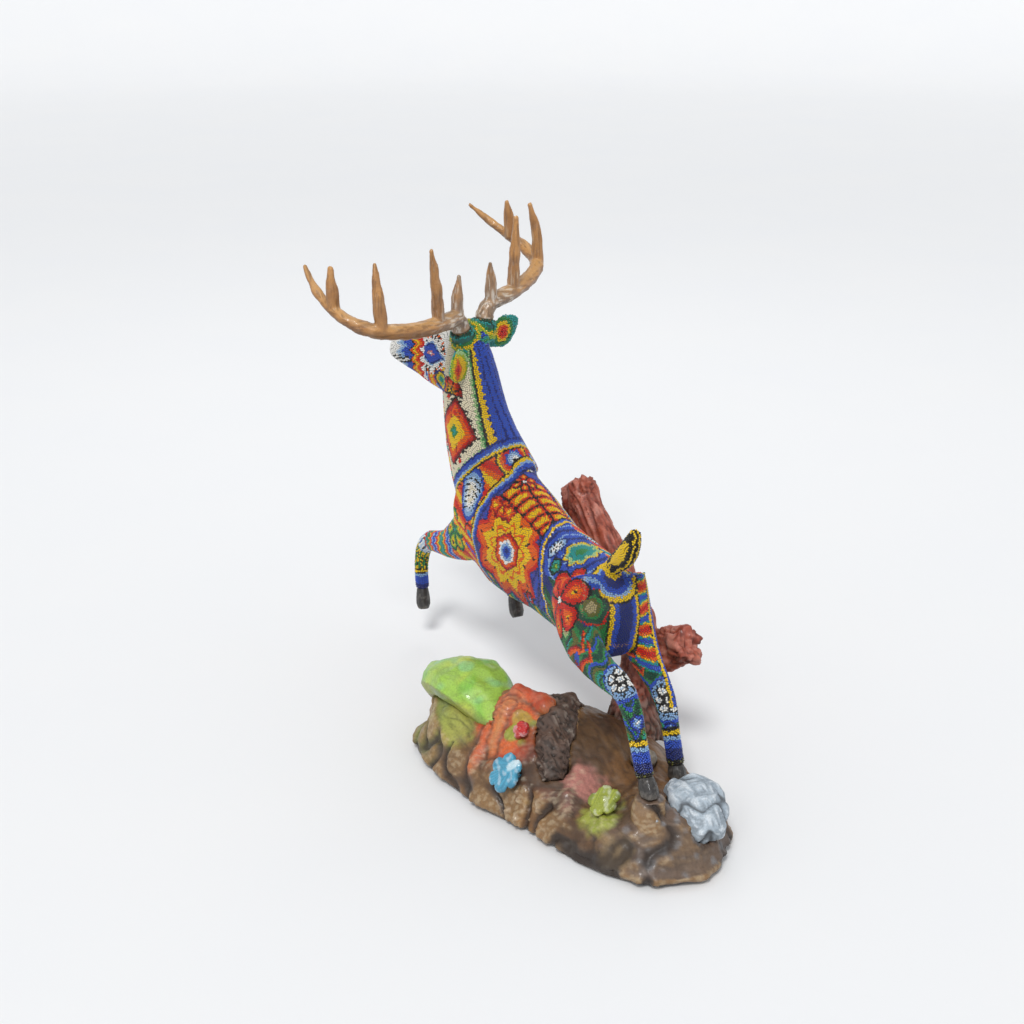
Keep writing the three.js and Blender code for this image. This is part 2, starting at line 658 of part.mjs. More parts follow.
const limbs = legNames.map((name) => legLayers[name]);
const dowelBores = Object.values(dowelPlaces).map(([a, b]) => boreFor(a, b, dowelRadius));
const supportBore = boreFor(...supportRod, supportRadius);
const anchorBores = Object.values(anchors).map(([a, b]) => boreFor(a, b, anchorRadius));
const socketBores = Object.values(antlerSides).map(sleeveBore);
const headOutside = join(headLayers.outside, pedicle(-1, 0), pedicle(1, 0));
const headHollow = join(headLayers.hollow, pedicle(-1, beadSkin, beadSkin), pedicle(1, beadSkin, beadSkin));
const headCore = join(headLayers.core, pedicle(-1, beadSkin + gap), pedicle(1, beadSkin + gap));
const earClear = Object.values(ears).map((makeEar) => makeEar(gap));

add('torso_core', cut(torsoLayers.core, ...dowelBores, supportBore, tailLayers.clear), wood);
add('torso_bead_skin', cut(
  torsoLayers.outside, torsoLayers.hollow, ...limbs.map((limb) => limb.passage), neckLayers.passage,
  tailLayers.clear, supportBore,
), beads.torso);
add('neck_and_head_core', cut(
  join(neckLayers.core, headCore), torsoLayers.passage, ...dowelBores, ...socketBores, ...earClear,
), wood);
add('neck_bead_skin', cut(
  neckLayers.outside, neckLayers.hollow, torsoLayers.clear, headLayers.clear, ...earClear,
  pedicle(-1, -gap), pedicle(1, -gap),
), beads.neck);
add('head_bead_skin', cut(
  headOutside, headHollow, neckLayers.passage, ...socketBores, ...earClear,
), beads.head);
for (const name of legNames) {
  const bores = [...dowelBores, ...anchorBores];
  const skin = cut(legLayers[name].outside, legLayers[name].hollow, torsoLayers.clear);
  add(`${name}_leg_core`, cut(legLayers[name].core, torsoLayers.passage, ...bores), wood);
  add(`${name}_leg_bead_skin`, skin, name.endsWith('hind') ? beads.leg : beads.neck);
  add(`${name}_hoof`, cut(hoof(name), ...bores), darkHoof);
}
add('tail_bead_skin', cut(tailLayers.outside, torsoLayers.clear), beads.leg);
for (const [name, side] of Object.entries(antlerSides)) {
  add(`antler_${name}`, antler(side), horn);
  add(`antler_${name}_sleeve`, sleeve(side), brassy);
  add(`${name}_ear`, ears[name](0), beads.head);
}
const pin = ([from, to], radius) => bar(from, to, radius, radius, thinSides);
for (const [name, ends] of Object.entries(dowelPlaces)) add(name, pin(ends, dowelRadius), wood);
for (const [name, ends] of Object.entries(anchors)) add(name, pin(ends, anchorRadius), steel);
add('trunk_support_rod', pin(supportRod, supportRadius), steel);

const relief = (sections, extra = 0) => loft(grow(sections, extra), legSides, 6);
const grownRelief = [slabSections, logSections, whiteRockSections].map((sections) => relief(sections, gap));
const screwBores = Object.values(screws).map(({ bore }) => bore);
const flowerHollows = Object.keys(blossoms).map(blossomHollow);
const footings = join(footing(hoofAt.left), footing(hoofAt.right));
const hoofSpaces = [hoofSpace(hoofAt.left), hoofSpace(hoofAt.right)];
add('base_casting', cut(
  join(cut(groundSolid(), ...hoofSpaces), footings), trunkBody(gap), ...grownRelief, roundStone(gap),
  ...anchorBores, ...screwBores, ...flowerHollows,
), earth);
add('base_felt', felt(), paint('#3a4a3a', 0.95));
add('driftwood_trunk', cut(trunkBody(0), supportBore, ...screwBores), redwood);
for (const [name, { solid }] of Object.entries(screws)) add(name, solid, steel);
const reliefTools = [trunkBody(gap), footings, ...anchorBores, ...flowerHollows];
add('green_slab', cut(relief(slabSections), grownRelief[1], ...reliefTools), paint('#9bbf4a', 0.5));
add('bark_log', cut(relief(logSections), ...reliefTools), paint('#5d5048', 0.8));
add('white_rock', cut(relief(whiteRockSections), ...reliefTools), paint('#b9c4cf', 0.6));
add('round_stone', cut(roundStone(0), ...reliefTools), paint('#7f7a6c', 0.6));
add('blue_flower', blossomSolid('blue_flower'), paint('#5fa9cf', 0.45));
add('red_blossom', blossomSolid('red_blossom'), paint('#cf3a4a', 0.45));
add('cup_flower', blossomSolid('cup_flower'), paint('#a9b83a', 0.45));

const figure = new THREE.Group();
figure.position.set(-baseMiddle.x, -baseMiddle.y, 0);
for (const [name, solid, material] of pieces) {
  const mesh = new THREE.Mesh(toGeometry(solid), material);
  mesh.name = name;
  figure.add(mesh);
}
const model = new THREE.Group();
model.add(figure);
export default model;
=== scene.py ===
"""A leaping buck covered in glass seed beads, on its painted landscape base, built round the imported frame.

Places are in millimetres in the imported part's own frame until a mesh is written, which is in metres.
The buck faces -X. Its left flank faces -Y, and the driftwood trunk stands on its +Y side.

The skins of the CAD nodes are joined into one surface, on which beads are spread out and coloured by
patterns worked out from their places. The cast pieces are the CAD nodes' own surfaces, remeshed finely,
raised by sums of waves and painted point by point.
"""

import itertools
import math

import bpy
import numpy as np
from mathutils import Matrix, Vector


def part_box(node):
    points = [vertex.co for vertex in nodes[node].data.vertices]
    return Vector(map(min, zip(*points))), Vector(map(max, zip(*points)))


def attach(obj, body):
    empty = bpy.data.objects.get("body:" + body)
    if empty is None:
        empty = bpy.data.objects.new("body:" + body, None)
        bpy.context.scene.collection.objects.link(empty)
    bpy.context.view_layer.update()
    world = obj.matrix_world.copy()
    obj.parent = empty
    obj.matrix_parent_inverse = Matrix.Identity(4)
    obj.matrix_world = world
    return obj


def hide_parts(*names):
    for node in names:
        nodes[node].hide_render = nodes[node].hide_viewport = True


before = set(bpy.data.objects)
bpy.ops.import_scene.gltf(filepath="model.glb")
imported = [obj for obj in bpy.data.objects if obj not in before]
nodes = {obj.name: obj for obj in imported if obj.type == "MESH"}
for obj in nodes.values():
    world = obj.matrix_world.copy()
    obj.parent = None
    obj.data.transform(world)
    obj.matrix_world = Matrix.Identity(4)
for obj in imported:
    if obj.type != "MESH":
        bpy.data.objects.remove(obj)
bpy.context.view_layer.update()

MM = 0.001
chance = np.random.default_rng(7)

# Driving sizes in millimetres
BEAD = 2.3
PITCH = 2.56
BEAD_SINK = 0.45
SKIN_CELL = 2.2
WAX_DEPTH = 1.1
BURR_REACH = 14.6
MOST_BEADS = 5700                # in one piece

LIMBS = ("left_hind", "right_hind", "left_fore", "right_fore")
SKIN_NODES = [f"{part}_bead_skin" for part in ("torso", "neck", "head", "tail")]
SKIN_NODES += ["left_ear", "right_ear"]
SKIN_NODES += [f"{limb}_leg_bead_skin" for limb in LIMBS]
CORE_NODES = ["torso_core", "neck_and_head_core"] + [f"{limb}_leg_core" for limb in LIMBS]
TORSO, NECK, HEAD, TAIL = SKIN_NODES[:4]
LEFT_HIND, RIGHT_HIND, LEFT_FORE, RIGHT_FORE = SKIN_NODES[6:]


# ---------------------------------------------------------------- shader maths

class Shade:
    """One socket of a material. Operators on shades and numbers add Math nodes."""

    def __init__(self, tree, socket):
        self.tree = tree
        self.socket = socket

    def node(self, kind, settings=None, **values):
        """Adds any node: its type, its settings, then its sockets' values or links, by name or number."""
        made = self.tree.nodes.new(kind)
        for name, value in (settings or {}).items():
            setattr(made, name, value)
        for name, value in values.items():
            key = int(name[1:]) if name[1:].isdigit() else name.replace("_", " ")
            put(self.tree, made.inputs[key], value)
        return made

    def maths(self, operation, *values):
        """A Math node on this shade and the values after it."""
        sockets = {f"i{place}": value for place, value in enumerate((self, *values))}
        made = self.node("ShaderNodeMath", {"operation": operation}, **sockets)
        return Shade(self.tree, made.outputs[0])

    def __add__(self, value):
        return self.maths("ADD", value)

    def __mul__(self, value):
        return self.maths("MULTIPLY", value)

    __radd__ = __add__
    __rmul__ = __mul__

    def between(self, low, high):
        """0 below low, 1 above high and smooth between them."""
        made = self.node(
            "ShaderNodeMapRange",
            {"interpolation_type": "SMOOTHSTEP"},
            Value=self,
            From_Min=low,
            From_Max=high,
        )
        return Shade(self.tree, made.outputs[0])


def put(tree, socket, value):
    """Links a shade or a socket to an input, or sets the number or colour on it."""
    if isinstance(value, Shade):
        tree.links.new(value.socket, socket)
    elif isinstance(value, bpy.types.NodeSocket):
        tree.links.new(value, socket)
    else:
        socket.default_value = value


def hue(text):
    """A hex colour as linear red, green, blue and alpha."""
    parts = [int(text[place:place + 2], 16) / 255 for place in (0, 2, 4)]
    linear = [part / 12.92 if part <= 0.04045 else ((part + 0.055) / 1.055) ** 2.4 for part in parts]
    return (*linear, 1.0)


class Finish:
    """A material under way: its tree, its object coordinates in metres and its shader."""

    def __init__(self, name):
        self.material = bpy.data.materials.new(name)
        self.material.use_nodes = True
        self.tree = self.material.node_tree
        self.shader = self.tree.nodes["Principled BSDF"]
        place = self.tree.nodes.new("ShaderNodeTexCoord")
        self.place = Shade(self.tree, place.outputs["Object"])

    def stretched(self, scale):
        """Object coordinates scaled along each axis: a small number draws a pattern out along it."""
        made = self.place.node("ShaderNodeMapping", Vector=self.place, Scale=scale)
        return Shade(self.tree, made.outputs[0])

    def noise(self, scale, detail=3.0, rough=0.5, at=None, warp=0.0):
        """Smooth noise from 0 to 1."""
        made = self.place.node(
            "ShaderNodeTexNoise",
            Vector=at or self.place,
            Scale=scale,
            Detail=detail,
            Roughness=rough,
            Distortion=warp,
        )
        return Shade(self.tree, made.outputs["Fac"])

    def cells(self, scale, at):
        """Distance to the nearest of many scattered points."""
        made = self.place.node("ShaderNodeTexVoronoi", Vector=at, Scale=scale)
        return Shade(self.tree, made.outputs["Distance"])

    def own(self, name):
        """A colour that the mesh carries at its points."""
        made = self.place.node("ShaderNodeAttribute", {"attribute_name": name})
        return Shade(self.tree, made.outputs["Color"])

    def mix(self, factor, first, second, blend="MIX"):
        """Mixes two colours: sockets 0, 6 and 7 of a Mix node hold the factor and its colours."""
        made = self.place.node("ShaderNodeMix", {"data_type": "RGBA", "blend_type": blend}, i0=factor)
        put(self.tree, made.inputs[6], first)
        put(self.tree, made.inputs[7], second)
        return Shade(self.tree, made.outputs[2])

    def bump(self, height, distance, strength):
        """Height from 0 to 1 as a bump of that depth in metres."""
        made = self.place.node("ShaderNodeBump", Height=height, Distance=distance, Strength=strength)
        self.set(Normal=made.outputs[0])

    def set(self, **values):
        """Sets or links sockets of the shader."""
        for name, value in values.items():
            put(self.tree, self.shader.inputs[name.replace("_", " ")], value)


# ---------------------------------------------------------------- meshes from arrays

def rows_of(items, field, width, kind=np.float32):
    """One field of a mesh's points, edges or triangles as an array with a row for each."""
    flat = np.empty(len(items) * width, kind)
    items.foreach_get(field, flat)
    return flat.reshape(-1, width)


def points_of(mesh):
    """A mesh's points in millimetres."""
    return rows_of(mesh.vertices, "co", 3).astype(float) / MM


def normals_of(mesh):
    """The outward direction at each of a mesh's points."""
    return rows_of(mesh.vertices, "normal", 3)


def edges_of(mesh):
    """The first and the second point number of each edge of a mesh."""
    return rows_of(mesh.edges, "vertices", 2, np.int32).T


def triangles_of(mesh):
    """A mesh's triangles as rows of three point numbers."""
    mesh.calc_loop_triangles()
    return rows_of(mesh.loop_triangles, "vertices", 3, np.int32)


def write_points(mesh, points):
    """Moves a mesh's points to places in millimetres."""
    mesh.vertices.foreach_set("co", (points * MM).astype(np.float32).ravel())


def write_faces(mesh, corners, sizes):
    """Adds smooth faces: their point numbers one after another, and each face's number of corners."""
    mesh.loops.add(len(corners))
    mesh.loops.foreach_set("vertex_index", corners)
    mesh.polygons.add(len(sizes))
    mesh.polygons.foreach_set("loop_start", (np.cumsum(sizes) - sizes).astype(np.int32))
    mesh.polygons.foreach_set("use_smooth", np.ones(len(sizes), bool))


def write_colours(mesh, name, colours):
    """Stores a colour at each point of a mesh."""
    paint = mesh.color_attributes.new(name, "FLOAT_COLOR", "POINT")
    paint.data.foreach_set("color", colours.astype(np.float32).ravel())


def placed(name, data):
    """A new object for a mesh, a lamp or a camera, in the scene."""
    made = bpy.data.objects.new(name, data)
    bpy.context.scene.collection.objects.link(made)
    return made


def object_from(name, points, faces=()):
    """A new object from points in millimetres and an array of faces with the same number of corners."""
    mesh = bpy.data.meshes.new(name)
    mesh.vertices.add(len(points))
    write_points(mesh, np.asarray(points))
    if len(faces):
        faces = np.asarray(faces, np.int32)
        write_faces(mesh, faces.ravel(), np.full(len(faces), faces.shape[1]))
    mesh.update(calc_edges=True)
    return placed(name, mesh)


def settled(made):
    """Applies an object's modifiers and returns it."""
    depth = bpy.context.evaluated_depsgraph_get()
    mesh = bpy.data.meshes.new_from_object(made.evaluated_get(depth))
    old = made.data
    made.modifiers.clear()
    made.data = mesh
    bpy.data.meshes.remove(old)
    return made


def remeshed(made, cell, rounds):
    """One closed surface from solids that overlap: voxels of this size, then smoothed this many times."""
    remesh = made.modifiers.new("remesh", "REMESH")
    remesh.mode = "VOXEL"
    remesh.voxel_size = cell * MM
    smooth = made.modifiers.new("smooth", "SMOOTH")
    smooth.factor = 0.5
    smooth.iterations = rounds
    return settled(made)


def dropped(made):
    """Removes a helper object and its mesh."""
    mesh = made.data
    bpy.data.objects.remove(made)
    bpy.data.meshes.remove(mesh)


def joined_nodes(name, names):
    """One object holding copies of these CAD nodes, their points merged to a thousandth of a millimetre."""
    points, faces, start = [], [], 0
    for node in names:
        own = points_of(nodes[node].data)
        keys = np.round(own * 1000).astype(np.int64)
        _, first, back = np.unique(keys, axis=0, return_index=True, return_inverse=True)
        triangles = back.reshape(-1)[triangles_of(nodes[node].data)]
        points.append(own[first])
        faces.append(triangles + start)
        start += len(first)
    return object_from(name, np.concatenate(points), np.concatenate(faces))


def wrapped(target, points, offset=0.0, method="NEAREST_SURFACEPOINT"):
    """The points moved to a surface, or to a height above it."""
    cloud = object_from("cloud", points)
    wrap = cloud.modifiers.new("wrap", "SHRINKWRAP")
    wrap.target = target
    wrap.wrap_method = method
    wrap.wrap_mode = "ABOVE_SURFACE" if offset else "ON_SURFACE"
    wrap.offset = offset * MM
    moved = points_of(settled(cloud).data)
    dropped(cloud)
    return moved


# ---------------------------------------------------------------- the beaded skin

def whole_skin():
    """The outside of every beaded piece as one smooth closed surface."""
    return eased(remeshed(joined_nodes("wax_skin", SKIN_NODES + CORE_NODES), SKIN_CELL, 7))


# Where the neck meets the back, and where the hind legs meet the rump: centre and reach
JOINS = (
    ((-248, 45, 286), 52), ((0, 22, 240), 42), ((4, 88, 234), 44), ((-40, 6, 190), 46), ((-300, 0, 205), 40),
)
EASING = 0.6                     # of the way to the neighbours' mean, each round
EASED_IN, EASED_OUT = -1.5, 9.0


def eased(skin, rounds=60):
    """Fills the hollows at the joins: points there move out towards their neighbours' mean, hardly in."""
    at = points_of(skin.data)
    out = normals_of(skin.data).astype(float)
    first, second = edges_of(skin.data)
    near = np.zeros(len(at))
    for centre, reach in JOINS:
        away = np.linalg.norm(at - np.array(centre), axis=1)
        near = np.maximum(near, 1 - soft(away, 0.6 * reach, reach))
    ties = np.bincount(first, minlength=len(at)) + np.bincount(second, minlength=len(at))
    moved = at.copy()
    for _ in range(rounds):
        ahead = [np.bincount(first, moved[second, axis], len(at)) for axis in range(3)]
        behind = [np.bincount(second, moved[first, axis], len(at)) for axis in range(3)]
        total = np.stack(ahead, 1) + np.stack(behind, 1)
        moved += EASING * near[:, None] * (total / ties[:, None] - moved)
    lift = np.clip(((moved - at) * out).sum(1), EASED_IN, EASED_OUT)
    write_points(skin.data, at + out * lift[:, None])
    skin.data.update()
    return skin


def span_of(surface):
    """Each triangle's first corner, the two sides from it and twice its area in square millimetres."""
    corners = points_of(surface.data)[triangles_of(surface.data)]
    side, other = corners[:, 1] - corners[:, 0], corners[:, 2] - corners[:, 0]
    return corners[:, 0], side, other, np.linalg.norm(np.cross(side, other), axis=1)


def scattered(surface, spacing):
    """Points at random over a surface, by area, about as many as evenly spaced ones would be."""
    corner, side, other, area = span_of(surface)
    count = int(area.sum() / 2 / (0.86 * spacing ** 2))
    picked = chance.choice(len(corner), count, p=area / area.sum())
    one, two = chance.random((2, count, 1))
    over = one + two > 1
    one, two = np.where(over, 1 - one, one), np.where(over, 1 - two, two)
    return corner[picked] + one * side[picked] + two * other[picked]


def neighbours(points, reach):
    """Pairs of points nearer than reach, looked up in a grid of cells of that size."""
    cell = np.floor((points - points.min(0)) / reach).astype(np.int64) + 1
    size = cell.max(0) + 2
    key = (cell[:, 0] * size[1] + cell[:, 1]) * size[2] + cell[:, 2]
    order = np.argsort(key, kind="stable")
    keys = key[order]
    firsts, seconds = [], []
    for step in itertools.product((-1, 0, 1), repeat=3):
        wanted = key + (step[0] * size[1] + step[1]) * size[2] + step[2]
        start = np.searchsorted(keys, wanted, "left")
        count = np.searchsorted(keys, wanted, "right") - start
        first = np.repeat(np.arange(len(points)), count)
        along = np.arange(count.sum()) - np.repeat(np.cumsum(count) - count, count)
        firsts.append(first)
        seconds.append(order[np.repeat(start, count) + along])
    first, second = np.concatenate(firsts), np.concatenate(seconds)
    apart = np.linalg.norm(points[second] - points[first], axis=1)
    near = (apart < reach) & (first != second)
    return first[near], second[near], apart[near]


def spread_out(surface, points, rounds):
    """Beads push each other apart along the surface until they lie evenly; then they go back to it."""
    reach = 1.35 * PITCH
    least = 0.05
    for turn in range(rounds):
        first, second, apart = neighbours(points, reach)
        way = (1 - apart / reach)[:, None] * (points[first] - points[second])
        push = way / np.maximum(apart, least)[:, None]
        total = np.stack([np.bincount(first, push[:, axis], len(points)) for axis in range(3)], 1)
        points = points + total * (0.9 * PITCH if turn < rounds / 2 else 0.5 * PITCH)
        points = wrapped(surface, points)
    return points


def normals_at(surface, points):
    """The smooth outward direction of a surface at points on it."""
    raised = wrapped(surface, points, 1.0, "TARGET_PROJECT")
    flat = wrapped(surface, points, 0.0, "TARGET_PROJECT")
    out = raised - flat
    return out / np.maximum(np.linalg.norm(out, axis=1, keepdims=True), 1e-6)


def nearest_node(points, names):
    """The number of the CAD node whose mesh lies nearest each point."""
    best = np.full(len(points), np.inf)
    owner = np.zeros(len(points), int)
    for number, name in enumerate(names):
        low, high = (np.array(corner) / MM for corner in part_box(name))
        rows = np.flatnonzero(((points > low - 6) & (points < high + 6)).all(1))
        if not len(rows):
            continue
        apart = np.linalg.norm(wrapped(nodes[name], points[rows]) - points[rows], axis=1)
        closer = apart < best[rows]
        best[rows[closer]] = apart[closer]
        owner[rows[closer]] = number
    return owner


def unit(vectors):
    """Vectors at length one."""
    return vectors / np.maximum(np.linalg.norm(vectors, axis=-1, keepdims=True), 1e-9)


# A bead in shares of its size: the radius and height of its three rings, the depth of its hole
BEAD_SIDES = 6
RING_RADII = (0.46, 0.51, 0.27)
RING_HEIGHTS = (0.0, 0.27, 0.6)
HOLE_HEIGHT = 0.34
LEAN, UNEVEN = 0.05, 0.03
# Where its rings and its foot lie in its own cell of the bead map
MAP_RADII = (0.42, 0.31, 0.17)
MAP_MIDDLE = (0.5, 0.53)
FOOT_RADIUS, FOOT_MIDDLE = 0.1, 0.12


def bead_shape():
    """A bead on its flat side: three rings and a sunk point, with walls, a hole and a foot as faces."""
    turn = np.arange(BEAD_SIDES) * math.tau / BEAD_SIDES
    ring = np.stack([np.cos(turn), np.sin(turn)], 1)
    rings = zip(RING_RADII, RING_HEIGHTS)
    shape = [np.c_[ring * radius, np.full(BEAD_SIDES, height)] for radius, height in rings]
    shape = np.concatenate(shape + [np.array([[0, 0, HOLE_HEIGHT]])]) * BEAD
    side = np.arange(BEAD_SIDES)
    after = (side + 1) % BEAD_SIDES
    walls = [
        np.c_[side + low, after + low, after + low + BEAD_SIDES, side + low + BEAD_SIDES]
        for low in (0, BEAD_SIDES)
    ]
    hole = np.c_[side + 2 * BEAD_SIDES, after + 2 * BEAD_SIDES, np.full(BEAD_SIDES, 3 * BEAD_SIDES)]
    return ring, shape, (np.concatenate(walls), hole, side[::-1][None])


def bead_map(mesh, ring, count, corners, sizes):
    """Gives each bead a square cell of the map, its rings inside each other and its foot in a corner."""
    across = math.ceil(math.sqrt(count))
    flat = [ring * radius for radius in MAP_RADII] + [np.zeros((1, 2))]
    flat = np.concatenate(flat) + np.array(MAP_MIDDLE)
    bead_of, corner_of = np.divmod(corners, len(flat))
    spots = flat[corner_of]
    in_foot = np.repeat(sizes == BEAD_SIDES, sizes)
    spots[in_foot] = ring[corner_of[in_foot]] * FOOT_RADIUS + FOOT_MIDDLE
    cell = np.stack([bead_of % across, bead_of // across], 1)
    layer = mesh.uv_layers.new(name="OFBake")
    layer.data.foreach_set("uv", ((cell + spots) / across).astype(np.float32).ravel())


def bead_piece(name, places, outward, colours, material):
    """Seed beads: one shape turned at random round each outward direction, uneven in lean and size."""
    count = len(places)
    ring, shape, faces = bead_shape()
    axis = unit(np.cross(outward, chance.normal(size=(count, 3))))
    across = np.cross(outward, axis)
    lean = unit(outward + chance.normal(size=(count, 3)) * LEAN)
    size = 1 + chance.normal(size=(count, 1, 1)) * UNEVEN
    wide, deep, high = shape[None, :, :1], shape[None, :, 1:2], shape[None, :, 2:]
    centre = places - outward * BEAD_SINK
    points = centre[:, None] + size * (wide * axis[:, None] + deep * across[:, None] + high * lean[:, None])
    shift = np.arange(count)[:, None, None] * len(shape)
    groups = [(group[None] + shift).reshape(-1, group.shape[1]) for group in faces]
    corners = np.concatenate([group.ravel() for group in groups]).astype(np.int32)
    sizes = np.concatenate([np.full(len(group), group.shape[1]) for group in groups]).astype(np.int32)
    mesh = bpy.data.meshes.new(name)
    mesh.vertices.add(count * len(shape))
    write_points(mesh, points)
    write_faces(mesh, corners, sizes)
    mesh.update(calc_edges=True)
    write_colours(mesh, "bead_colour", np.repeat(colours, len(shape), 0))
    bead_map(mesh, ring, count, corners, sizes)
    made = placed(name, mesh)
    mesh.materials.append(material)
    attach(made, "figure")


# ---------------------------------------------------------------- patterns in beads

COLOURS = {
    "black": "14120f", "white": "f8f6f0", "cream": "f0e6c8", "yellow": "f4cb0e", "ochre": "c98a14",
    "orange": "f0660a", "red": "d92412", "dark_red": "8e1712", "blue": "2f55c4", "deep_blue": "1c2c78",
    "light_blue": "8fb6e0", "pale_blue": "c2d6ea", "turquoise": "1f9c96", "green": "2f8a45",
    "dark_green": "16503a", "lime": "a5bf2e", "pale_green": "a9cc8c", "olive": "6b6a2c", "beige": "b7a878",
    "pink": "d98a8c", "violet": "4a4aa8",
}
COLOURS = {name: np.array(hue(code)) for name, code in COLOURS.items()}
SKY = (0, 0, 1)
REST = np.inf                    # the last colour of a set of bands holds from the edge before it
BORDER = 1.3                     # half of a thin border, and the first ring of a petal


def wave(value, period):
    """A straight-sided wave from 0 to 1 and back over each period."""
    return np.abs((value / period) % 1 * 2 - 1)


class Pattern:
    """Colours for a set of places on the skin, painted in layers."""

    def __init__(self, places, outward, owner):
        self.at = places
        self.out = outward
        self.owner = owner
        self.colour = np.tile(COLOURS["white"], (len(places), 1))
        self.jitter = np.random.default_rng(3).random(len(places))
        self.within = np.ones(len(places), bool)

    def on(self, *names):
        """Where the place lies on one of these CAD nodes."""
        wanted = [number for number, name in enumerate(SKIN_NODES) if name in names]
        return np.isin(self.owner, wanted)

    def paint(self, where, name):
        """One colour all over."""
        self.colour[where] = COLOURS[name]

    def bands(self, where, value, names, edges):
        """Rings or stripes: each colour holds up to its edge, with a few beads mixed at the borders."""
        blur = value + (self.jitter - 0.5) * 1.1
        low = -np.inf
        for name, edge in zip(names, edges):
            self.paint(where & (blur >= low) & (blur < edge), name)
            low = edge

    def lines(self, where, value, name, width=BEAD):
        """A line one bead wide where the value is near nought."""
        self.paint(where & (np.abs(value) < width / 2), name)

    def near(self, centre, up=SKY):
        """Right, up and distance from the skin nearest a centre, seen square on, and what faces that way."""
        away = np.linalg.norm(self.at - np.array(centre, float), axis=1)
        offset = self.at - self.at[np.argmin(away)]
        far = np.linalg.norm(offset, axis=1)
        out = unit(self.out[far < 9].mean(0)[None])[0]
        right = unit(np.cross(np.array(up, float), out)[None])[0]
        flat_x, flat_y = offset @ right, offset @ np.cross(out, right)
        stretch = far / np.maximum(np.hypot(flat_x, flat_y), 1e-6)
        return flat_x * stretch, flat_y * stretch, far, self.within & (self.out @ out > 0.0)

    def flower(self, centre, radius, rings, outline="black", heart="white", turn=0.0, up=SKY):
        """Six petals round a heart: each is a wedge that ends in a circle tangent to it, ringed inwards."""
        x, y, far, facing = self.near(centre, up)
        part = math.tau / 6
        bearing = (np.arctan2(y, x) + turn) % part - part / 2
        along, across = far * np.cos(bearing), np.abs(far * np.sin(bearing))
        sine, cosine = math.sin(part / 2), math.cos(part / 2)
        middle = radius / (1 + sine)
        to_side = along * sine - across * cosine
        to_end = middle * sine - np.hypot(along - middle, across)
        border = np.where(along * cosine + across * sine < middle * cosine, to_side, to_end)
        inside = facing & (border > -0.6)
        steps = BORDER + np.arange(1, len(rings)) * (middle * sine - BORDER) / len(rings)
        self.bands(inside, border, (outline, *rings), [BORDER, *steps, REST])
        if radius > 20:
            self.paint(inside & (np.hypot(along - middle, across) < 1.9), "black")
        self.paint(facing & (far < max(2.4, 0.09 * radius)), heart)

    def star(self, centre, radius, depth, points, rings, edges, outline, turn=0.0, up=SKY):
        """A sunburst: bands of distance divided by an edge that rises and falls with the angle."""
        x, y, far, facing = self.near(centre, up)
        edge = radius - depth * wave(np.arctan2(y, x) + turn, math.tau / points)
        share = far / edge
        self.bands(facing & (share < 1), share * radius, rings, [value * radius for value in edges])
        self.paint(facing & (np.abs(far - edge) < BORDER), outline)

    def gem(self, centre, radius, names, sides=24, turn=0.0, outline="black", up=SKY, squeeze=(1, 1)):
        """Nested polygons: equal bands of the distance square to the sides, and an outline one bead wide."""
        x, y, far, facing = self.near(centre, up)
        x, y = x / squeeze[0], y / squeeze[1]
        angle = np.arctan2(y, x) + turn
        part = math.tau / sides
        square = np.hypot(x, y) * np.cos((angle % part) - part / 2) / math.cos(part / 2)
        edges = [value * radius for value in np.linspace(0, 1, len(names) + 1)[1:]]
        around = facing & (far < 2.2 * radius)
        self.bands(around & (square < radius), square, names, edges)
        if outline:
            self.paint(around & (np.abs(square - radius) < 1.2), outline)

    def dashes(self, centre, inner, reach, count, turn):
        """Short black strokes that point away from a centre."""
        x, y, far, facing = self.near(centre)
        part = math.tau / count
        angle = (np.arctan2(y, x) + turn) % part - part / 2
        stroke = np.abs(np.sin(angle)) * far < BEAD / 2
        self.paint(facing & stroke & (far > inner) & (far < reach), "black")


WARM = ("yellow", "orange", "red")
BELT = ("yellow", "light_blue", "blue", "deep_blue")
BELT_EDGES = (-6, -2, 0.5, 5, 7)


def torso_turn(art):
    """Degrees round the body: 0 on the back, 90 on the left flank, below -90 and above 90 on the belly."""
    x = art.at[:, 0]
    stations = [-360, -297, -234, -160, -94, 20]
    middle = np.interp(x, stations, [26, 34, 38, 46, 50, 50])
    height = np.interp(x, stations, [240, 228, 214, 203, 200, 206])
    return np.degrees(np.arctan2(middle - art.at[:, 1], art.at[:, 2] - height))


def belt(art, where, value, names, edges):
    """A belt from its front edge to its back edge, outlined on both sides."""
    inside = where & (value > edges[0]) & (value < edges[-1])
    art.bands(inside, value, names, edges[1:])
    art.lines(where, value - edges[0], "black", 1.9)
    art.lines(where, value - edges[-1], "deep_blue", 1.9)


def beside(side, x, middle, out, z):
    """A place this far out from the body's middle line: side is 1 on the left flank and -1 on the right."""
    return np.array([x, middle - out * side, z])


SUNBURST = (-184, 44, 219)       # inside the body, level with the middle of the sunburst on each flank


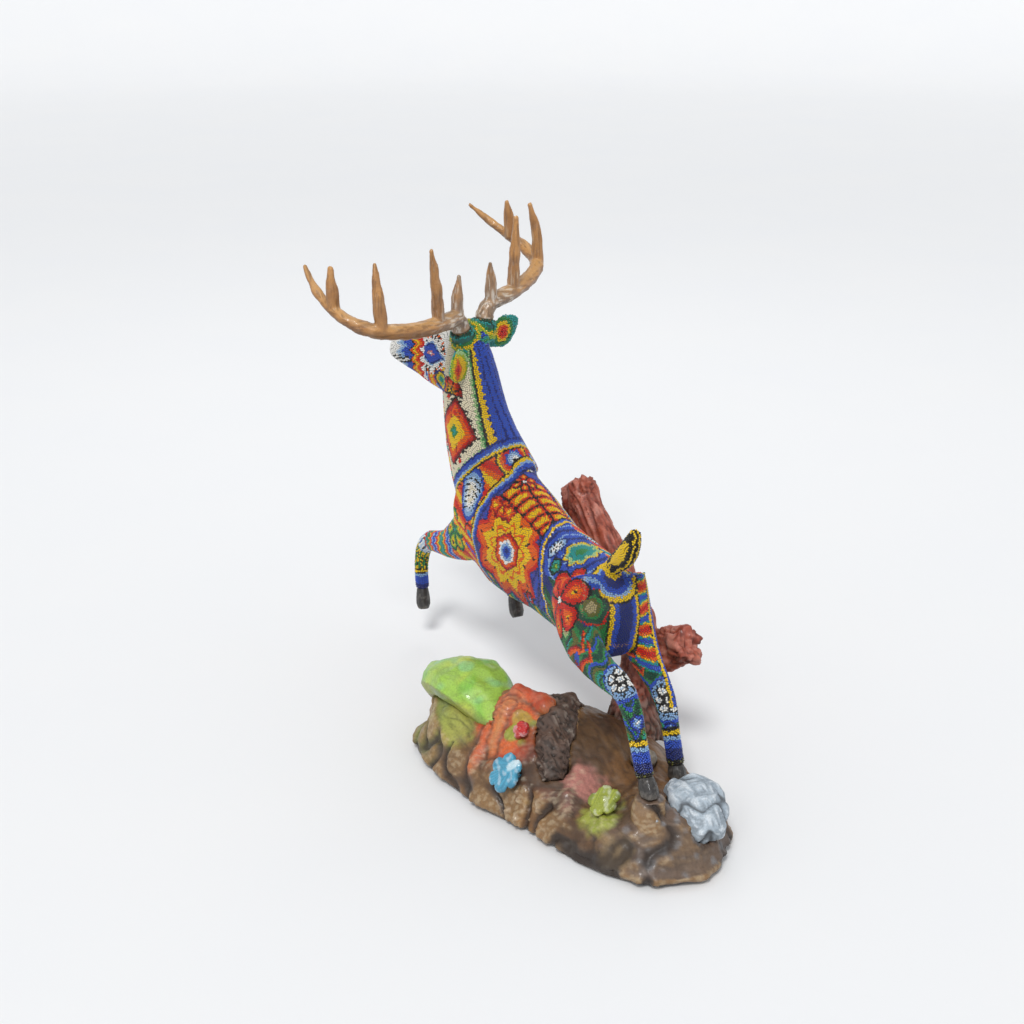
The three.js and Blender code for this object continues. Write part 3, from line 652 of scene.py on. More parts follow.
def paint_sunburst(art, side):
    """A sunburst with a six-sided gem in it, its rays, three small stars above and two gems below."""
    centre = beside(side, -184, 42, 46, 219)
    rings = ("yellow", "orange", "yellow", "orange", "red")
    art.star(centre, 73, 21, 9, rings, (0.42, 0.48, 0.66, 0.86, REST), "deep_blue", 0.2)
    art.dashes(centre, 34, 40, 9, 0.55)
    art.dashes(centre, 50, 56, 9, 0.2)
    art.gem(centre, 23, ("deep_blue", "blue", "light_blue", "white", "orange", "red"), 6, 0.5, "dark_red")
    for x, size in ((-212, 15), (-199, 12), (-226, 12)):
        art.star(beside(side, x, 42, 40, 264), size, 5, 5, WARM, (0.35, 0.7, REST), "dark_red", 0.4)
    art.gem(beside(side, -140, 44, 44, 172), 9, ("light_blue", "deep_blue", "red", "dark_red"))
    art.gem(beside(side, -230, 42, 44, 172), 10, ("yellow", "orange", "green", "dark_green"))


def paint_mid_body(art, torso, turn, after_second, before_third):
    """Between the second and third belts: a sunburst on each flank, bricks along the spine and the belly."""
    field = torso & after_second & before_third
    away = np.linalg.norm(art.at - np.array(SUNBURST), axis=1)
    art.bands(field, wave(away, 13) * 6.5, ("deep_blue", "violet", "blue"), (1.6, 4.6, REST))
    belly = field & (np.abs(turn) > 128)
    rings = ("deep_blue", "turquoise", "green", "yellow")
    art.bands(belly, wave(art.at[:, 0], 34) * 17, rings, (4, 8, 13, REST))
    art.within = field
    for side in (1, -1):
        paint_sunburst(art, side)
    spine = field & (turn > -21) & (turn < 27) & (art.at[:, 0] > -228)
    along = art.at[:, 0] + 228
    across = np.radians(turn + 21) * 58
    cell_x, cell_y = np.abs(along % 15.0 - 7.5), np.abs(across % 24.0 - 12)
    edge = np.minimum(7.5 - cell_x, 12 - cell_y) - np.maximum(0, cell_x + cell_y - 15)
    art.bands(spine, edge, ("black", "red", "orange", "yellow"), (1.1, 2.4, 4.3, REST))
    art.flower((-228, 38, 284), 17, ("red", "orange", "yellow"), turn=0.3, up=(-1, 0, 0))
    art.within = np.ones(len(art.at), bool)
    band = field & (np.abs(turn + 31) < 11)
    rise = np.radians(turn + 31) * 60
    belt(art, band, rise, ("deep_blue", "blue", "light_blue", "yellow"), (-7, -5, 0, 2.5, 6))


def paint_feather(art, panel):
    """A pale oval panel with two rows of slanted black strokes."""
    art.gem(panel, 33, ("white", "cream", "white", "pale_blue", "light_blue", "blue"), outline="deep_blue",
            squeeze=(0.62, 1.0))
    x, y, _, facing = art.near(panel)
    strokes = facing & (np.abs(x) < 14) & (np.abs(y) < 22)
    art.paint(strokes & (wave(y + 0.5 * np.abs(x), 7.0) > 0.76) & (np.abs(x) > 2.5), "black")


def paint_shoulder(art, torso, turn, front, before_second):
    """Between the collar and the second belt: feather panels, green flowers, and daisies on the back."""
    slanted = wave(art.at[:, 2] + art.at[:, 0] * 0.4, 26) * 13
    art.bands(front & before_second, slanted, ("red", "orange", "yellow"), (4, 9, REST))
    low = torso & before_second & (np.abs(turn) > 100)
    for side in (1, -1):
        paint_feather(art, beside(side, -278, 38, 42, 262))
        art.flower(beside(side, -316, 38, 54, 204), 30, ("green", "lime", "yellow", "orange"), turn=0.25,
                   heart="turquoise", outline="dark_green")
        art.bands(low, wave(turn, 24) * 12, ("yellow", "orange", "red", "blue"), (3, 6, 10, REST))
        art.gem(beside(side, -268, 38, 45, 215), 15, ("blue", "turquoise", "orange", "red"), 6)
    up = (-1, 0, 0.3)
    art.gem((-263, 38, 300), 24, ("orange", "orange", "orange", "red", "orange", "yellow"), 8, up=up)
    petals = ("black", "white", "pale_blue", "light_blue", "blue")
    for spot in ((-263, 38, 300), (-272, 68, 292)):
        art.star(spot, 15, 3, 8, petals, (0.16, 0.34, 0.5, 0.7, REST), "red", up=up)


NECK_FOOT, NECK_RISE = 258, 176  # height of the neck's foot, and from there to its top
NECK_TURN = math.radians(31)     # the mane's direction
NECK_RADIUS = 36


def neck_middle(height):
    """The neck's middle line at a height: it leans forward and to the left as it rises."""
    rise = (height - NECK_FOOT) / NECK_RISE
    return rise, -307 - 39 * rise, 32 - 19 * rise


def beside_neck(side, height, reach=34.0):
    """A place on one side of the neck."""
    _, x, y = neck_middle(height)
    bearing = NECK_TURN - side * math.radians(106)
    return np.array([x - 10 + math.cos(bearing) * reach, y + math.sin(bearing) * reach, height])


def paint_neck(art, collar):
    """A blue mane with a toothed yellow border, and on each side a cream panel with a diamond."""
    where = art.on(NECK) & (collar > 0)
    x, y, z = art.at.T
    rise, middle_x, middle_y = neck_middle(z)
    middle_x = middle_x - 12 * np.sin(np.pi * np.clip(rise, 0, 1))
    turn = NECK_TURN - np.arctan2(y - middle_y, x - middle_x)
    arc = ((turn + math.pi) % math.tau - math.pi) * NECK_RADIUS
    art.paint(where, "cream")
    edge = np.abs(arc) - 27
    border = np.minimum(edge, collar - 3) + wave(z, 6) * 2
    art.bands(where & (edge > 0), border, ("dark_green", "green", "pale_green"), (2.5, 4.5, 7))
    front = where & (np.abs(arc) > 92)
    art.bands(front, wave(z, 30) * 15, ("yellow", "orange", "red", "turquoise"), (4, 8, 12, REST))
    stripes = wave(arc + 2.0 * np.sin(z / 17), 9) * 4.5
    art.bands(where & (edge < 0), stripes, ("deep_blue", "blue"), (1.0, REST))
    art.paint(where & (edge + wave(z, 8) * 3.4 > -4) & (edge < 0.4), "yellow")
    art.lines(where, edge - 1.2, "black", 2.0)
    for side in (1, -1):
        paint_neck_panel(art, where, side)


def paint_neck_panel(art, where, side):
    """A diamond with ticks inside and teeth outside, three red dots and a fan above it."""
    diamond = beside_neck(side, 327)
    rings = ("turquoise", "green", "yellow", "yellow", "yellow", "orange", "orange", "red", "dark_red")
    art.gem(diamond, 43, rings, 4, squeeze=(0.9, 1.0))
    x, y, far, facing = art.near(diamond)
    square = np.abs(x) / 0.9 + np.abs(y)
    ticks = (np.abs(np.abs(x) - 7.5) < 1.0) & (wave(y, 20) > 0.5) & (np.abs(y) > 9)
    art.paint(facing & where & (square < 41) & ticks, "dark_red")
    teeth = (square > 43) & (square < 48.5) & (wave(y, 9.5) > 0.62) & (far < 54)
    art.paint(facing & where & teeth, "black")
    for height, shift in ((296, 10), (352, 6.4), (368, -4)):
        art.gem(beside_neck(side, height) + np.array([shift, 0, 0]), 3.4, ("red",), outline=None)
    x, y, far, facing = art.near(beside_neck(side, 372, 31))
    half = facing & where & (far < 21) & (y > -1)
    part = wave(np.arctan2(y, x), math.pi / 4)
    rings = ("black", "yellow", "black", "ochre", "orange", "red", "dark_red")
    art.bands(half, far + 2 * part, rings, (2.4, 6, 7.4, 11, 15, 19, REST))
    art.paint(half & (part < 0.16) & (far > 7), "black")
    art.lines(facing & where & (np.abs(x) < 21), y + 1, "black", 2.2)


# The head's own axes: the muzzle's direction, the right side and up, from a place in the skull
AHEAD = np.array([-0.839, -0.545, 0.0])
RIGHTWARD = np.array([-0.543, 0.837, 0.070])
UPWARD = np.cross(RIGHTWARD, AHEAD)
SKULL = np.array([-346, 20, 440])
FACE_DROP = 0.274                # the face falls by this share of its length


def cheek(side, along, up, out=24):
    """A place on one side of the face."""
    return SKULL + AHEAD * along - RIGHTWARD * side * out + UPWARD * (up - along * FACE_DROP)


def paint_eye(art, where, side):
    """A slanted almond eye in a white disc with a ring of rays, and a round spot on the cheek below."""
    x, y, far, facing = art.near(cheek(side, 48, -12))
    facing = facing & where
    art.paint(facing & (far < 26), "white")
    rim = facing & (far > 17) & (far < 25)
    bearing = np.arctan2(y, x)
    spoke = wave(bearing, math.tau / 22)
    art.paint(rim & (spoke > 0.62) & (np.sin(bearing * 5.5) > -0.4), "black")
    art.paint(rim & (spoke < 0.3) & (far > 20), "orange")
    slant = np.abs(x * 0.62) + np.abs(y + 0.12 * x) * 1.05
    art.bands(facing & (slant < 14.5), slant, ("white", "pink", "blue", "deep_blue"), (2.0, 3.8, 12.5, REST))
    art.paint(facing & (np.abs(slant - 15.4) < 0.9), "light_blue")
    rings = ("green", "turquoise", "lime", "yellow", "olive")
    art.gem(cheek(side, 26, -48, 22), 13, rings, outline="deep_blue")


def paint_muzzle(art, where, forward, side, rise):
    """A toothed warm band across the face, a blue muzzle that pales to white, and the lines of the mouth."""
    saw = forward + wave(rise, 12) * 8
    band = where & (forward > 58) & (saw < 84) & (np.abs(side) > 2)
    art.bands(band, saw, ("white", "red", "orange", "yellow", "orange"), (66, 71, 75, 80, REST))
    art.paint(where & (saw > 84), "blue")
    art.lines(where, saw - 84, "black", 2.2)
    tip = ("blue", "light_blue", "pale_blue", "white")
    art.bands(where & (saw > 88), saw + wave(rise, 8) * 3, tip, (98, 104, 109, REST))
    lip = rise + 15 + 0.02 * forward
    mouth = where & (forward > 84)
    art.paint(mouth & (np.abs(lip) < 3.4), "white")
    art.lines(mouth, lip + 2.6, "black", 2.0)
    art.lines(mouth, lip - 2.6, "black", 2.0)
    art.lines(mouth & (forward > 98), lip - 7, "black", 2.0)


def paint_head(art):
    """Stripes on the crown, the nape and the throat, both eyes, the muzzle and the collars of the antlers."""
    where = art.on(HEAD)
    local = art.at - SKULL
    forward, side, rise = local @ AHEAD, local @ RIGHTWARD, local @ UPWARD
    rise = rise + forward * FACE_DROP
    art.paint(where, "white")
    art.bands(where & (rise > 14), wave(side, 22) * 11, ("orange", "yellow", "red", "white"), (3, 5, 8, REST))
    nape = wave(rise + 0.4 * forward, 19) * 9.5
    art.bands(where & (forward < 14), nape, ("blue", "deep_blue", "turquoise", "green"), (3, 5, 7.5, REST))
    throat = where & (rise < -34 + 0.16 * forward)
    art.bands(throat, wave(forward, 24) * 12, ("blue", "light_blue", "orange", "yellow"), (4, 6, 9, REST))
    for flank in (1, -1):
        paint_eye(art, where, flank)
    paint_muzzle(art, where, forward, side, rise)
    collars = ("black", "dark_green", "turquoise", "green", "yellow", "lime")
    for flank in (1, -1):
        seat = SKULL + AHEAD * -2 + RIGHTWARD * 24 * flank + UPWARD * 12
        away = np.linalg.norm(art.at - seat, axis=1)
        value = away + wave(side + forward, 9) * 3
        art.bands(where & (away < 27), value, collars, (12.5, 15, 19, 22, 25, REST))


def paint_ears(art):
    """Leaf ears: the left one rings of green round a warm triangle, the right one rings from its middle."""
    where = art.on("left_ear")
    x, _, z = art.at.T
    across, up, far, facing = art.near((-306, -14, 410))
    art.bands(where, wave(z + 0.5 * x, 15) * 7.5, ("turquoise", "green", "lime"), (3.2, 5.6, REST))
    rings = ("yellow", "lime", "pale_green", "green", "turquoise")
    art.bands(where & facing, far + 2 * wave(up, 9), rings, (16, 20, 24, 28, REST))
    leaf = np.abs(across + 3) * 1.5 + np.abs(up)
    rings = ("dark_red", "red", "orange", "ochre", "yellow")
    art.bands(where & facing & (leaf < 19), leaf, rings, (3.5, 8, 13, 16, REST))
    away = np.linalg.norm(art.at - np.array((-352, 66, 436)), axis=1)
    rings = ("dark_red", "red", "orange", "yellow", "green", "turquoise")
    art.bands(art.on("right_ear"), away, rings, (3.5, 7, 10, 13.5, 19, REST))


def stretches(path):
    """A line of points as its starts, its steps, their lengths, and the length before each."""
    path = np.array(path, float)
    step = path[1:] - path[:-1]
    long = np.linalg.norm(step, axis=1)
    return path[:-1], step, long, np.concatenate([[0], np.cumsum(long)[:-1]])


def along_leg(art, path):
    """Length down a leg's middle line, and the angle round it: 0 on the left side, 90 towards the front."""
    origin, step, long, start = stretches(path)
    offset = art.at[:, None] - origin[None]
    share = np.clip((offset * step).sum(2) / long ** 2, 0, 1)
    away = np.linalg.norm(offset - share[..., None] * step, axis=2)
    best = away.argmin(1)
    rows = np.arange(len(art.at))
    rest = offset[rows, best] - share[rows, best, None] * step[best]
    side = np.array([0, -1.0, 0])
    fore = np.cross(step[best] / long[best, None], side)
    turn = np.degrees(np.arctan2((rest * fore).sum(1), rest @ side))
    return start[best] + share[rows, best] * long[best], turn, long.sum()


def rosette(art, centre, size):
    """Seven small white hexagons outlined in black, on a pale blue ground with scattered dots."""
    x, y, far, facing = art.near(centre)
    art.bands(facing & (far < 2.3 * size), far, ("light_blue", "blue"), (2.0 * size, REST))
    art.paint(facing & (far < 2.0 * size) & (wave(x, 5.5) > 0.55) & (wave(y, 5.5) > 0.55), "black")
    pitch = size * 0.98
    height = pitch * 0.866
    row = np.round(y / height)
    column = np.round(x / pitch - row * 0.5)
    cell_x, cell_y = (column + row * 0.5) * pitch, row * pitch * 0.866
    inside = facing & (np.hypot(cell_x, cell_y) < 1.1 * pitch)
    away = np.hypot(x - cell_x, y - cell_y)
    art.bands(inside, away, ("pale_blue", "white", "black"), (0.12 * size, 0.36 * size, REST))


GAITER = ("black", "yellow", "black", "light_blue", "blue", "deep_blue")


def paint_hind_leg(art, node, path, rosette_at, spot_at):
    """Green fields with chevrons above, a rosette at the hock, a yellow ring and a blue gaiter below."""
    where = art.on(node)
    down, turn, whole = along_leg(art, path)
    ground = down + 9 * np.sin(np.radians(turn) * 2)
    greens = ("green", "dark_green", "turquoise", "green", "olive", "dark_green")
    greens += ("blue", "green", "dark_green")
    art.bands(where, wave(ground, 90) * 45, greens, (5, 9, 14, 19, 24, 29, 34, 39, REST))
    saw = down + np.abs(turn - 10) * 0.35
    for low in (70, 88):
        chevron = where & (np.abs(turn - 10) < 62) & (saw > low) & (saw < low + 9)
        art.bands(chevron, saw, ("dark_red", "red", "orange"), (low + 2.4, low + 5, REST))
    art.lines(where & (down < whole - 40), np.radians(turn - 104) * 16, "yellow", 3.0)
    art.lines(where & (down < 92), np.radians(turn - 90) * 30, "red", 3.2)
    rosette(art, rosette_at, 11.5)
    art.gem(spot_at, 9, ("white", "light_blue", "blue", "deep_blue"), outline=None)
    ring = down - (whole - 40)
    art.bands(where & (ring > -1.6) & (ring < 30), ring, GAITER, (0, 5.0, 6.2, 11, 20, REST))
    art.paint(where & (down > whole - 10), "black")
    art.paint(where & (down > whole - 9) & (wave(turn, 24) > 0.72), "olive")


def paint_fore_leg(art, node, path):
    """Petals on the knee, a red zigzag, lengthwise stripes on the shin and a blue gaiter."""
    where = art.on(node)
    down, turn, whole = along_leg(art, path)
    knee = whole - 82
    upper = where & (down < knee) & (down > 12)
    saw = down + wave(turn, 40) * 7
    rings = ("turquoise", "green", "yellow", "orange", "red", "light_blue", "blue")
    art.bands(upper, wave(saw, 56) * 28, rings, (5, 9, 12, 16, 20, 24, REST))
    mid = where & (down > knee - 14) & (down < knee + 20)
    petals = wave(turn, 60) * 12
    rings = ("blue", "light_blue", "white", "pale_blue")
    art.bands(mid, petals + np.abs(down - knee) * 0.3, rings, (2.5, 6, 9.5, REST))
    art.lines(mid, petals - 1.5, "black", 1.6)
    shin = where & (down > knee + 14) & (down < whole - 27)
    art.bands(shin, wave(turn, 45) * 6, ("black", "yellow", "green"), (1.3, 3.6, REST))
    art.paint(where & (np.abs(saw - (knee - 12)) < 2.6), "red")
    low = down - (whole - 28)
    art.bands(where & (low > 0), low, GAITER, (1.8, 4.6, 6, 10, 20, REST))


def paint_tail(art):
    """Lengthwise black and yellow stripes from a yellow root."""
    where = art.on(TAIL)
    down = along_leg(art, [(-20, 50, 240), (0, 50, 264), (16, 50, 281), (29, 50, 297), (40, 50, 316)])[0]
    art.bands(where, wave(art.at[:, 1] - 47.2, 5.6) * 2.8, ("black", "yellow"), (1.5, REST))
    art.paint(where & (down < 18), "yellow")


def paint_flank(art, side):
    """The gems and the large flower on one flank of the rump."""
    middle = 50
    shield = beside(side, -110, middle, 24, 248)
    rings = ("white", "white", "pale_blue", "light_blue")
    art.gem(shield, 13, rings, outline="deep_blue", squeeze=(0.75, 1.1))
    x, y, far, facing = art.near(shield)
    art.paint(facing & (far < 9) & (wave(x + y, 5.5) > 0.7), "black")
    art.gem(beside(side, -88, middle, 38, 236), 11, ("lime", "green", "turquoise", "dark_green"), 5)
    rings = ("beige", "beige", "olive", "green", "dark_green", "dark_green")
    art.gem(beside(side, 4, middle, 34, 222), 22, rings, 6, outline="red")
    rings = ("beige", "beige", "pale_green", "green", "dark_green")
    art.gem(beside(side, -10, middle, 56, 192), 16, rings, 5)
    art.gem(beside(side, -8, middle, 50, 244), 8, ("turquoise", "green", "lime"), outline="dark_green")
    rings = ("red", "red", "orange", "orange", "yellow")
    art.flower(beside(side, -36, middle, 54, 217), 44, rings, turn=-0.17)


def paint_rump(art, torso, turn, behind):
    """Behind the third belt: clouds, flowers and gems on the flanks, and a star on the back."""
    x, _, z = art.at.T
    field = (torso & behind) | (art.on(LEFT_HIND, RIGHT_HIND) & (x < 20) & (z > 190))
    art.paint(field, "blue")
    flank = wave(z + 0.4 * x, 44) * 22
    rings = ("olive", "green", "dark_green", "deep_blue")
    art.bands(field & (np.abs(turn) > 62), flank, rings, (4, 9, 16, REST))
    cloud = np.linalg.norm(art.at - np.array([-74, 40, 254]), axis=1)
    upper = field & (np.abs(turn) < 62)
    art.bands(upper, wave(cloud, 22) * 11, ("deep_blue", "blue", "light_blue"), (2.6, 9.4, REST))
    low = torso & behind & (np.abs(turn) > 112)
    art.bands(low, wave(x, 32) * 16, ("dark_green", "green", "turquoise", "deep_blue"), (5, 9, 12, REST))
    top = field & (turn > -62) & (turn < -12) & (x < -20)
    rings = ("turquoise", "light_blue", "yellow", "orange", "red")
    art.bands(top, wave(x, 46) * 23, rings, (6, 9, 12, 18, REST))
    for side in (1, -1):
        paint_flank(art, side)
    rings = ("green", "turquoise", "turquoise", "pale_green", "yellow")
    art.star((-74, 40, 254), 26, 6, 8, rings, (0.3, 0.5, 0.66, 0.82, REST), "deep_blue", up=(-1, 0, 0.2))
    paint_cleft(art, torso)


def paint_cleft(art, torso):
    """Under the tail: a deep blue cleft, rings round the tail's root and a striped strip to the right."""
    x, y, z = art.at.T
    cleft = (torso | art.on(LEFT_HIND, RIGHT_HIND)) & (art.out[:, 0] > 0.1)
    across = y - 54 - 0.1 * (z - 220)
    valley = cleft & (np.abs(across) < 20) & (z < 246) & (z > 158) & (x > -12)
    art.bands(valley, np.abs(across), ("deep_blue", "blue", "yellow", "black"), (8, 14, 18.2, REST))
    away = np.linalg.norm(art.at - np.array([-3, 50, 250]), axis=1)
    rings = ("deep_blue", "blue", "light_blue", "yellow", "black")
    art.bands(torso & (away < 31), away, rings, (15, 20, 24, 29, REST))
    strip = cleft & (across > 20) & (across < 36) & (z < 250) & (z > 150)
    rings = ("red", "orange", "yellow", "turquoise", "blue")
    art.bands(strip, wave(z, 22) * 11, rings, (2.6, 5, 6.6, 8.6, REST))
    edge = cleft & (across > 34) & (across < 46) & (z > 120)
    art.bands(edge, across, ("black", "yellow", "blue", "deep_blue"), (35, 39, 43, REST))


# The middle line of each leg, from the body down to the fetlock
LEFT_HIND_PATH = [
    (-30, 10, 225), (30, 5, 190), (100, 4, 178), (125, 4, 165), (142, 4, 140), (152, 4, 115), (155, 4, 94),
]
RIGHT_HIND_PATH = [
    (-30, 88, 215), (0, 85, 175), (30, 82, 140), (55, 82, 118), (70, 81, 95), (78, 81, 75), (82, 81, 56),
]
LEFT_FORE_PATH = [
    (-300, 0, 215), (-330, -3, 190), (-375, -5, 170), (-425, -6, 150), (-455, -8, 128), (-463, -8, 100),
    (-458, -8, 71),
]
RIGHT_FORE_PATH = [
    (-297, 78, 210), (-310, 76, 180), (-335, 76, 150), (-357, 76, 125), (-360, 76, 105), (-354, 76, 85),
]
# Where the second and third belts lie: their x at each angle round the body
SECOND_BELT = (
    [-180, -110, -60, -24, 8, 24, 50, 73, 100, 125, 180],
    [-235, -245, -262, -268, -240, -240, -247, -253, -255, -248, -235],
)
THIRD_BELT = (
    [-180, -90, -55, -22, 5, 21, 38, 58, 82, 104, 180],
    [-95, -100, -128, -157, -143, -135, -127, -114, -105, -98, -95],
)
# The collar lies on a plane across the neck: its direction, and its distance from the origin
COLLAR_WAY = np.array([-0.654, -0.204, 0.728])
COLLAR_AT = 402


def paint_buck(art):
    """Every field, belt and motif of the buck, from the ground colours up."""
    torso, body = art.on(TORSO), art.on(TORSO, NECK)
    turn = torso_turn(art)
    x, _, z = art.at.T
    second = x - np.interp(turn, *SECOND_BELT)
    third = x - np.interp(turn, *THIRD_BELT)
    collar = art.at @ COLLAR_WAY - COLLAR_AT
    paint_neck(art, collar)
    paint_fore_leg(art, LEFT_FORE, LEFT_FORE_PATH)
    paint_fore_leg(art, RIGHT_FORE, RIGHT_FORE_PATH)
    front = (body & (collar < 0)) | (art.on(LEFT_FORE, RIGHT_FORE) & (x > -322) & (z > 170))
    paint_shoulder(art, torso, turn, front, second < 0)
    paint_mid_body(art, torso, turn, second > 0, third < 0)
    paint_hind_leg(art, LEFT_HIND, LEFT_HIND_PATH, (106, 2, 184), (146, 2, 152))
    paint_hind_leg(art, RIGHT_HIND, RIGHT_HIND_PATH, (66, 80, 128), (76, 78, 98))
    paint_rump(art, torso, turn, third > 0)
    belt(art, body & (second < 40) & (collar < 4), second, BELT, BELT_EDGES)
    belt(art, torso, third, ("deep_blue", "blue", "yellow", "white"), (-7, -5, -1, 3, 4.5))
    belt(art, body & (second < 3), collar, BELT, BELT_EDGES)
    paint_tail(art)
    paint_head(art)
    paint_ears(art)


# ---------------------------------------------------------------- light, floor and camera

VIEW_FROM, VIEW_ABOVE, VIEW_AWAY = math.radians(67), math.radians(20), 1885.4
VIEW_TARGET = (-108.9, -28.1, 298.1)
SENSOR, LENS = 36.0, 60.26
FLOOR_RADIUS, FLOOR_BEND = 7000.0, 2600.0


def camera():
    """A camera on the left rear side, a little above: away from its target along that bearing and height."""
    data = bpy.data.cameras.new("camera")
    data.sensor_width = SENSOR
    data.lens = LENS
    made = placed("camera", data)
    level = math.cos(VIEW_ABOVE)
    back = np.array([math.sin(VIEW_FROM) * level, -math.cos(VIEW_FROM) * level, math.sin(VIEW_ABOVE)])
    made.location = (np.array(VIEW_TARGET) + back * VIEW_AWAY) * MM
    made.rotation_euler = (math.pi / 2 - VIEW_ABOVE, 0, VIEW_FROM)
    data.clip_start = 0.05
    data.clip_end = 50
    bpy.context.scene.camera = made


def backdrop(radius, bend, steps=24, around=96):
    """A round floor whose rim curves up: flat to the radius, then a quarter circle, carried round."""
    turn = np.linspace(0, math.pi / 2, steps)
    reach = np.concatenate([[0.001, radius * 0.4], radius + bend * np.sin(turn)])
    height = np.concatenate([[0, 0], bend * (1 - np.cos(turn))])
    angle = np.arange(around) * math.tau / around
    points = np.stack([
        (reach[:, None] * np.cos(angle)).ravel(),
        (reach[:, None] * np.sin(angle)).ravel(),
        np.repeat(height, around),
    ], 1)
    row, column = np.meshgrid(np.arange(len(reach) - 1), np.arange(around), indexing="ij")
    here, after = row * around + column, row * around + (column + 1) % around
    faces = np.stack([here, here + around, after + around, after], -1)
    return object_from("floor", points, faces.reshape(-1, 4))


def shone(name, data, toward):
    """A light that shines from this direction: turned down from the upright, then round to its bearing."""
    made = placed(name, data)
    flat = math.hypot(toward[0], toward[1])
    made.rotation_euler = (math.atan2(flat, toward[2]), 0, math.atan2(toward[0], -toward[1]))
    return made


def lamp(name, spot, size, power):
    """A soft square light that faces the middle of the figure."""
    data = bpy.data.lights.new(name, "AREA")
    data.size = size
    data.energy = power
    shone(name, data, np.array(spot) - np.array((0, 0, 0.25))).location = spot


def sunlight(name, toward, strength, softness):
    """Even soft light from one direction."""
    data = bpy.data.lights.new(name, "SUN")
    data.energy = strength
    data.angle = math.radians(softness)
    shone(name, data, toward)


def studio():
    """A pale floor that curves up behind, a dim pale sky, one soft sun and three weak lamps."""
    floor = backdrop(FLOOR_RADIUS, FLOOR_BEND)
    look = Finish("pale floor")
    tone = look.noise(3.0, 2.0)
    look.set(Base_Color=look.mix(tone, hue("ebebea"), hue("e8e9ea")), Roughness=0.9)
    floor.data.materials.append(look.material)
    world = bpy.data.worlds.new("studio")
    bpy.context.scene.world = world
    world.use_nodes = True
    sky = world.node_tree.nodes["Background"]
    sky.inputs["Color"].default_value = (0.94, 0.96, 1.0, 1)
    sky.inputs["Strength"].default_value = 0.6
    bpy.context.scene.view_settings.view_transform = "Standard"
    sunlight("key", (1.7, -1.2, 2.5), 1.7, 14)
    lamp("sheen", (1.9, -1.9, 1.9), 0.6, 9)
    lamp("fill", (2.2, 1.8, 1.6), 2.0, 3)
    lamp("rim", (-1.8, 0.6, 2.2), 1.2, 7)


# ---------------------------------------------------------------- the beads and the wax

BLACK = (0, 0, 0, 1)
# Near-black for the wax: painted shade in the gaps between the beads
WAX_IN_SHADE = (0.012, 0.01, 0.008, 1)


def bead_finish():
    """Glass in the bead's own colour, a little darker in fine specks, under a thin clear coat."""
    look = Finish("glass seed beads")
    fine = look.noise(900.0, 2.0)
    look.set(Base_Color=look.mix(fine * 0.25, look.own("bead_colour"), BLACK, "MULTIPLY"), Roughness=0.2)
    look.set(Coat_Weight=0.5)
    return look.material


def wax_and_painted_shade_finish():
    """Dull wax, mostly near-black as painted shade in the gaps between the beads, with a trace of the colour
    of the beads over it.
    """
    look = Finish("wax under the beads in painted shade")
    # The wax is mixed mostly to near-black, as painted shade between the beads
    look.set(Base_Color=look.mix(0.74, look.own("bead_colour"), WAX_IN_SHADE), Roughness=0.6)
    return look.material


def middle_of(node):
    """The middle of a CAD node's box, in millimetres."""
    lower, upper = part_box(node)
    return (np.array(lower) + np.array(upper)) / 2 / MM


def clear_of_antlers(places):
    """Where no bead would stand in an antler's hole or under its burr."""
    clear = np.ones(len(places), bool)
    for node in ("antler_left_sleeve", "antler_right_sleeve"):
        clear &= np.linalg.norm(places - middle_of(node), axis=1) > BURR_REACH
    return clear


def beaded_buck():
    """The beads of the whole buck, in pieces by CAD node, and the wax surface under them."""
    skin = whole_skin()
    places = spread_out(skin, scattered(skin, PITCH), 40)
    outward = normals_at(skin, places)
    owner = nearest_node(places, SKIN_NODES)
    kept = clear_of_antlers(places)
    places, outward, owner = places[kept], outward[kept], owner[kept]
    art = Pattern(places, outward, owner)
    paint_buck(art)
    material = bead_finish()
    for number, node in enumerate(SKIN_NODES):
        name = node.replace("_skin", "s") if "skin" in node else node + "_beads"
        rows = np.flatnonzero(owner == number)
        parts = max(1, math.ceil(len(rows) / MOST_BEADS))
        rows = rows[np.argsort(places[rows, 0], kind="stable")]
        for part, chosen in enumerate(np.array_split(rows, parts)):
            bead_piece(f"{name}_{part + 1}", places[chosen], outward[chosen], art.colour[chosen], material)
    wax(skin)


def wax(skin):
    """The skin sunk a little under the beads, with the same pattern."""
    places, outward = points_of(skin.data), normals_of(skin.data)
    art = Pattern(places, outward, nearest_node(places, SKIN_NODES))
    paint_buck(art)
    write_points(skin.data, places - outward * WAX_DEPTH)
    write_colours(skin.data, "bead_colour", art.colour)
    skin.data.update()
    skin.data.materials.clear()
    skin.data.materials.append(wax_and_painted_shade_finish())
    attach(skin, "figure")
    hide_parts(*SKIN_NODES)


# ---------------------------------------------------------------- cast, carved and painted pieces

def ripples(points, size, seed, stretch=(1, 1, 1), count=16):
    """Smooth bumps from about -1 to 1: the mean of plane waves near one length, in random directions."""
    draw = np.random.default_rng(seed)
    ways = unit(draw.normal(size=(count, 3))) * math.tau / size * draw.uniform(0.6, 1.6, (count, 1))
    starts = draw.uniform(0, math.tau, count)
    return np.sin((points / np.array(stretch)) @ ways.T + starts).sum(1) / math.sqrt(count)


def creases(points, size, seed, stretch=(1, 1, 1)):
    """Sharp furrows: 0 in a furrow and about 1 between them, from the size of smooth bumps near nought."""
    return np.clip(np.abs(ripples(points, size, seed, stretch)) * 1.6, 0, 1)


def soft(value, low, high):
    """A smooth step from 0 at low to 1 at high."""
    share = np.clip((value - low) / (high - low), 0, 1)
    return share * share * (3 - 2 * share)


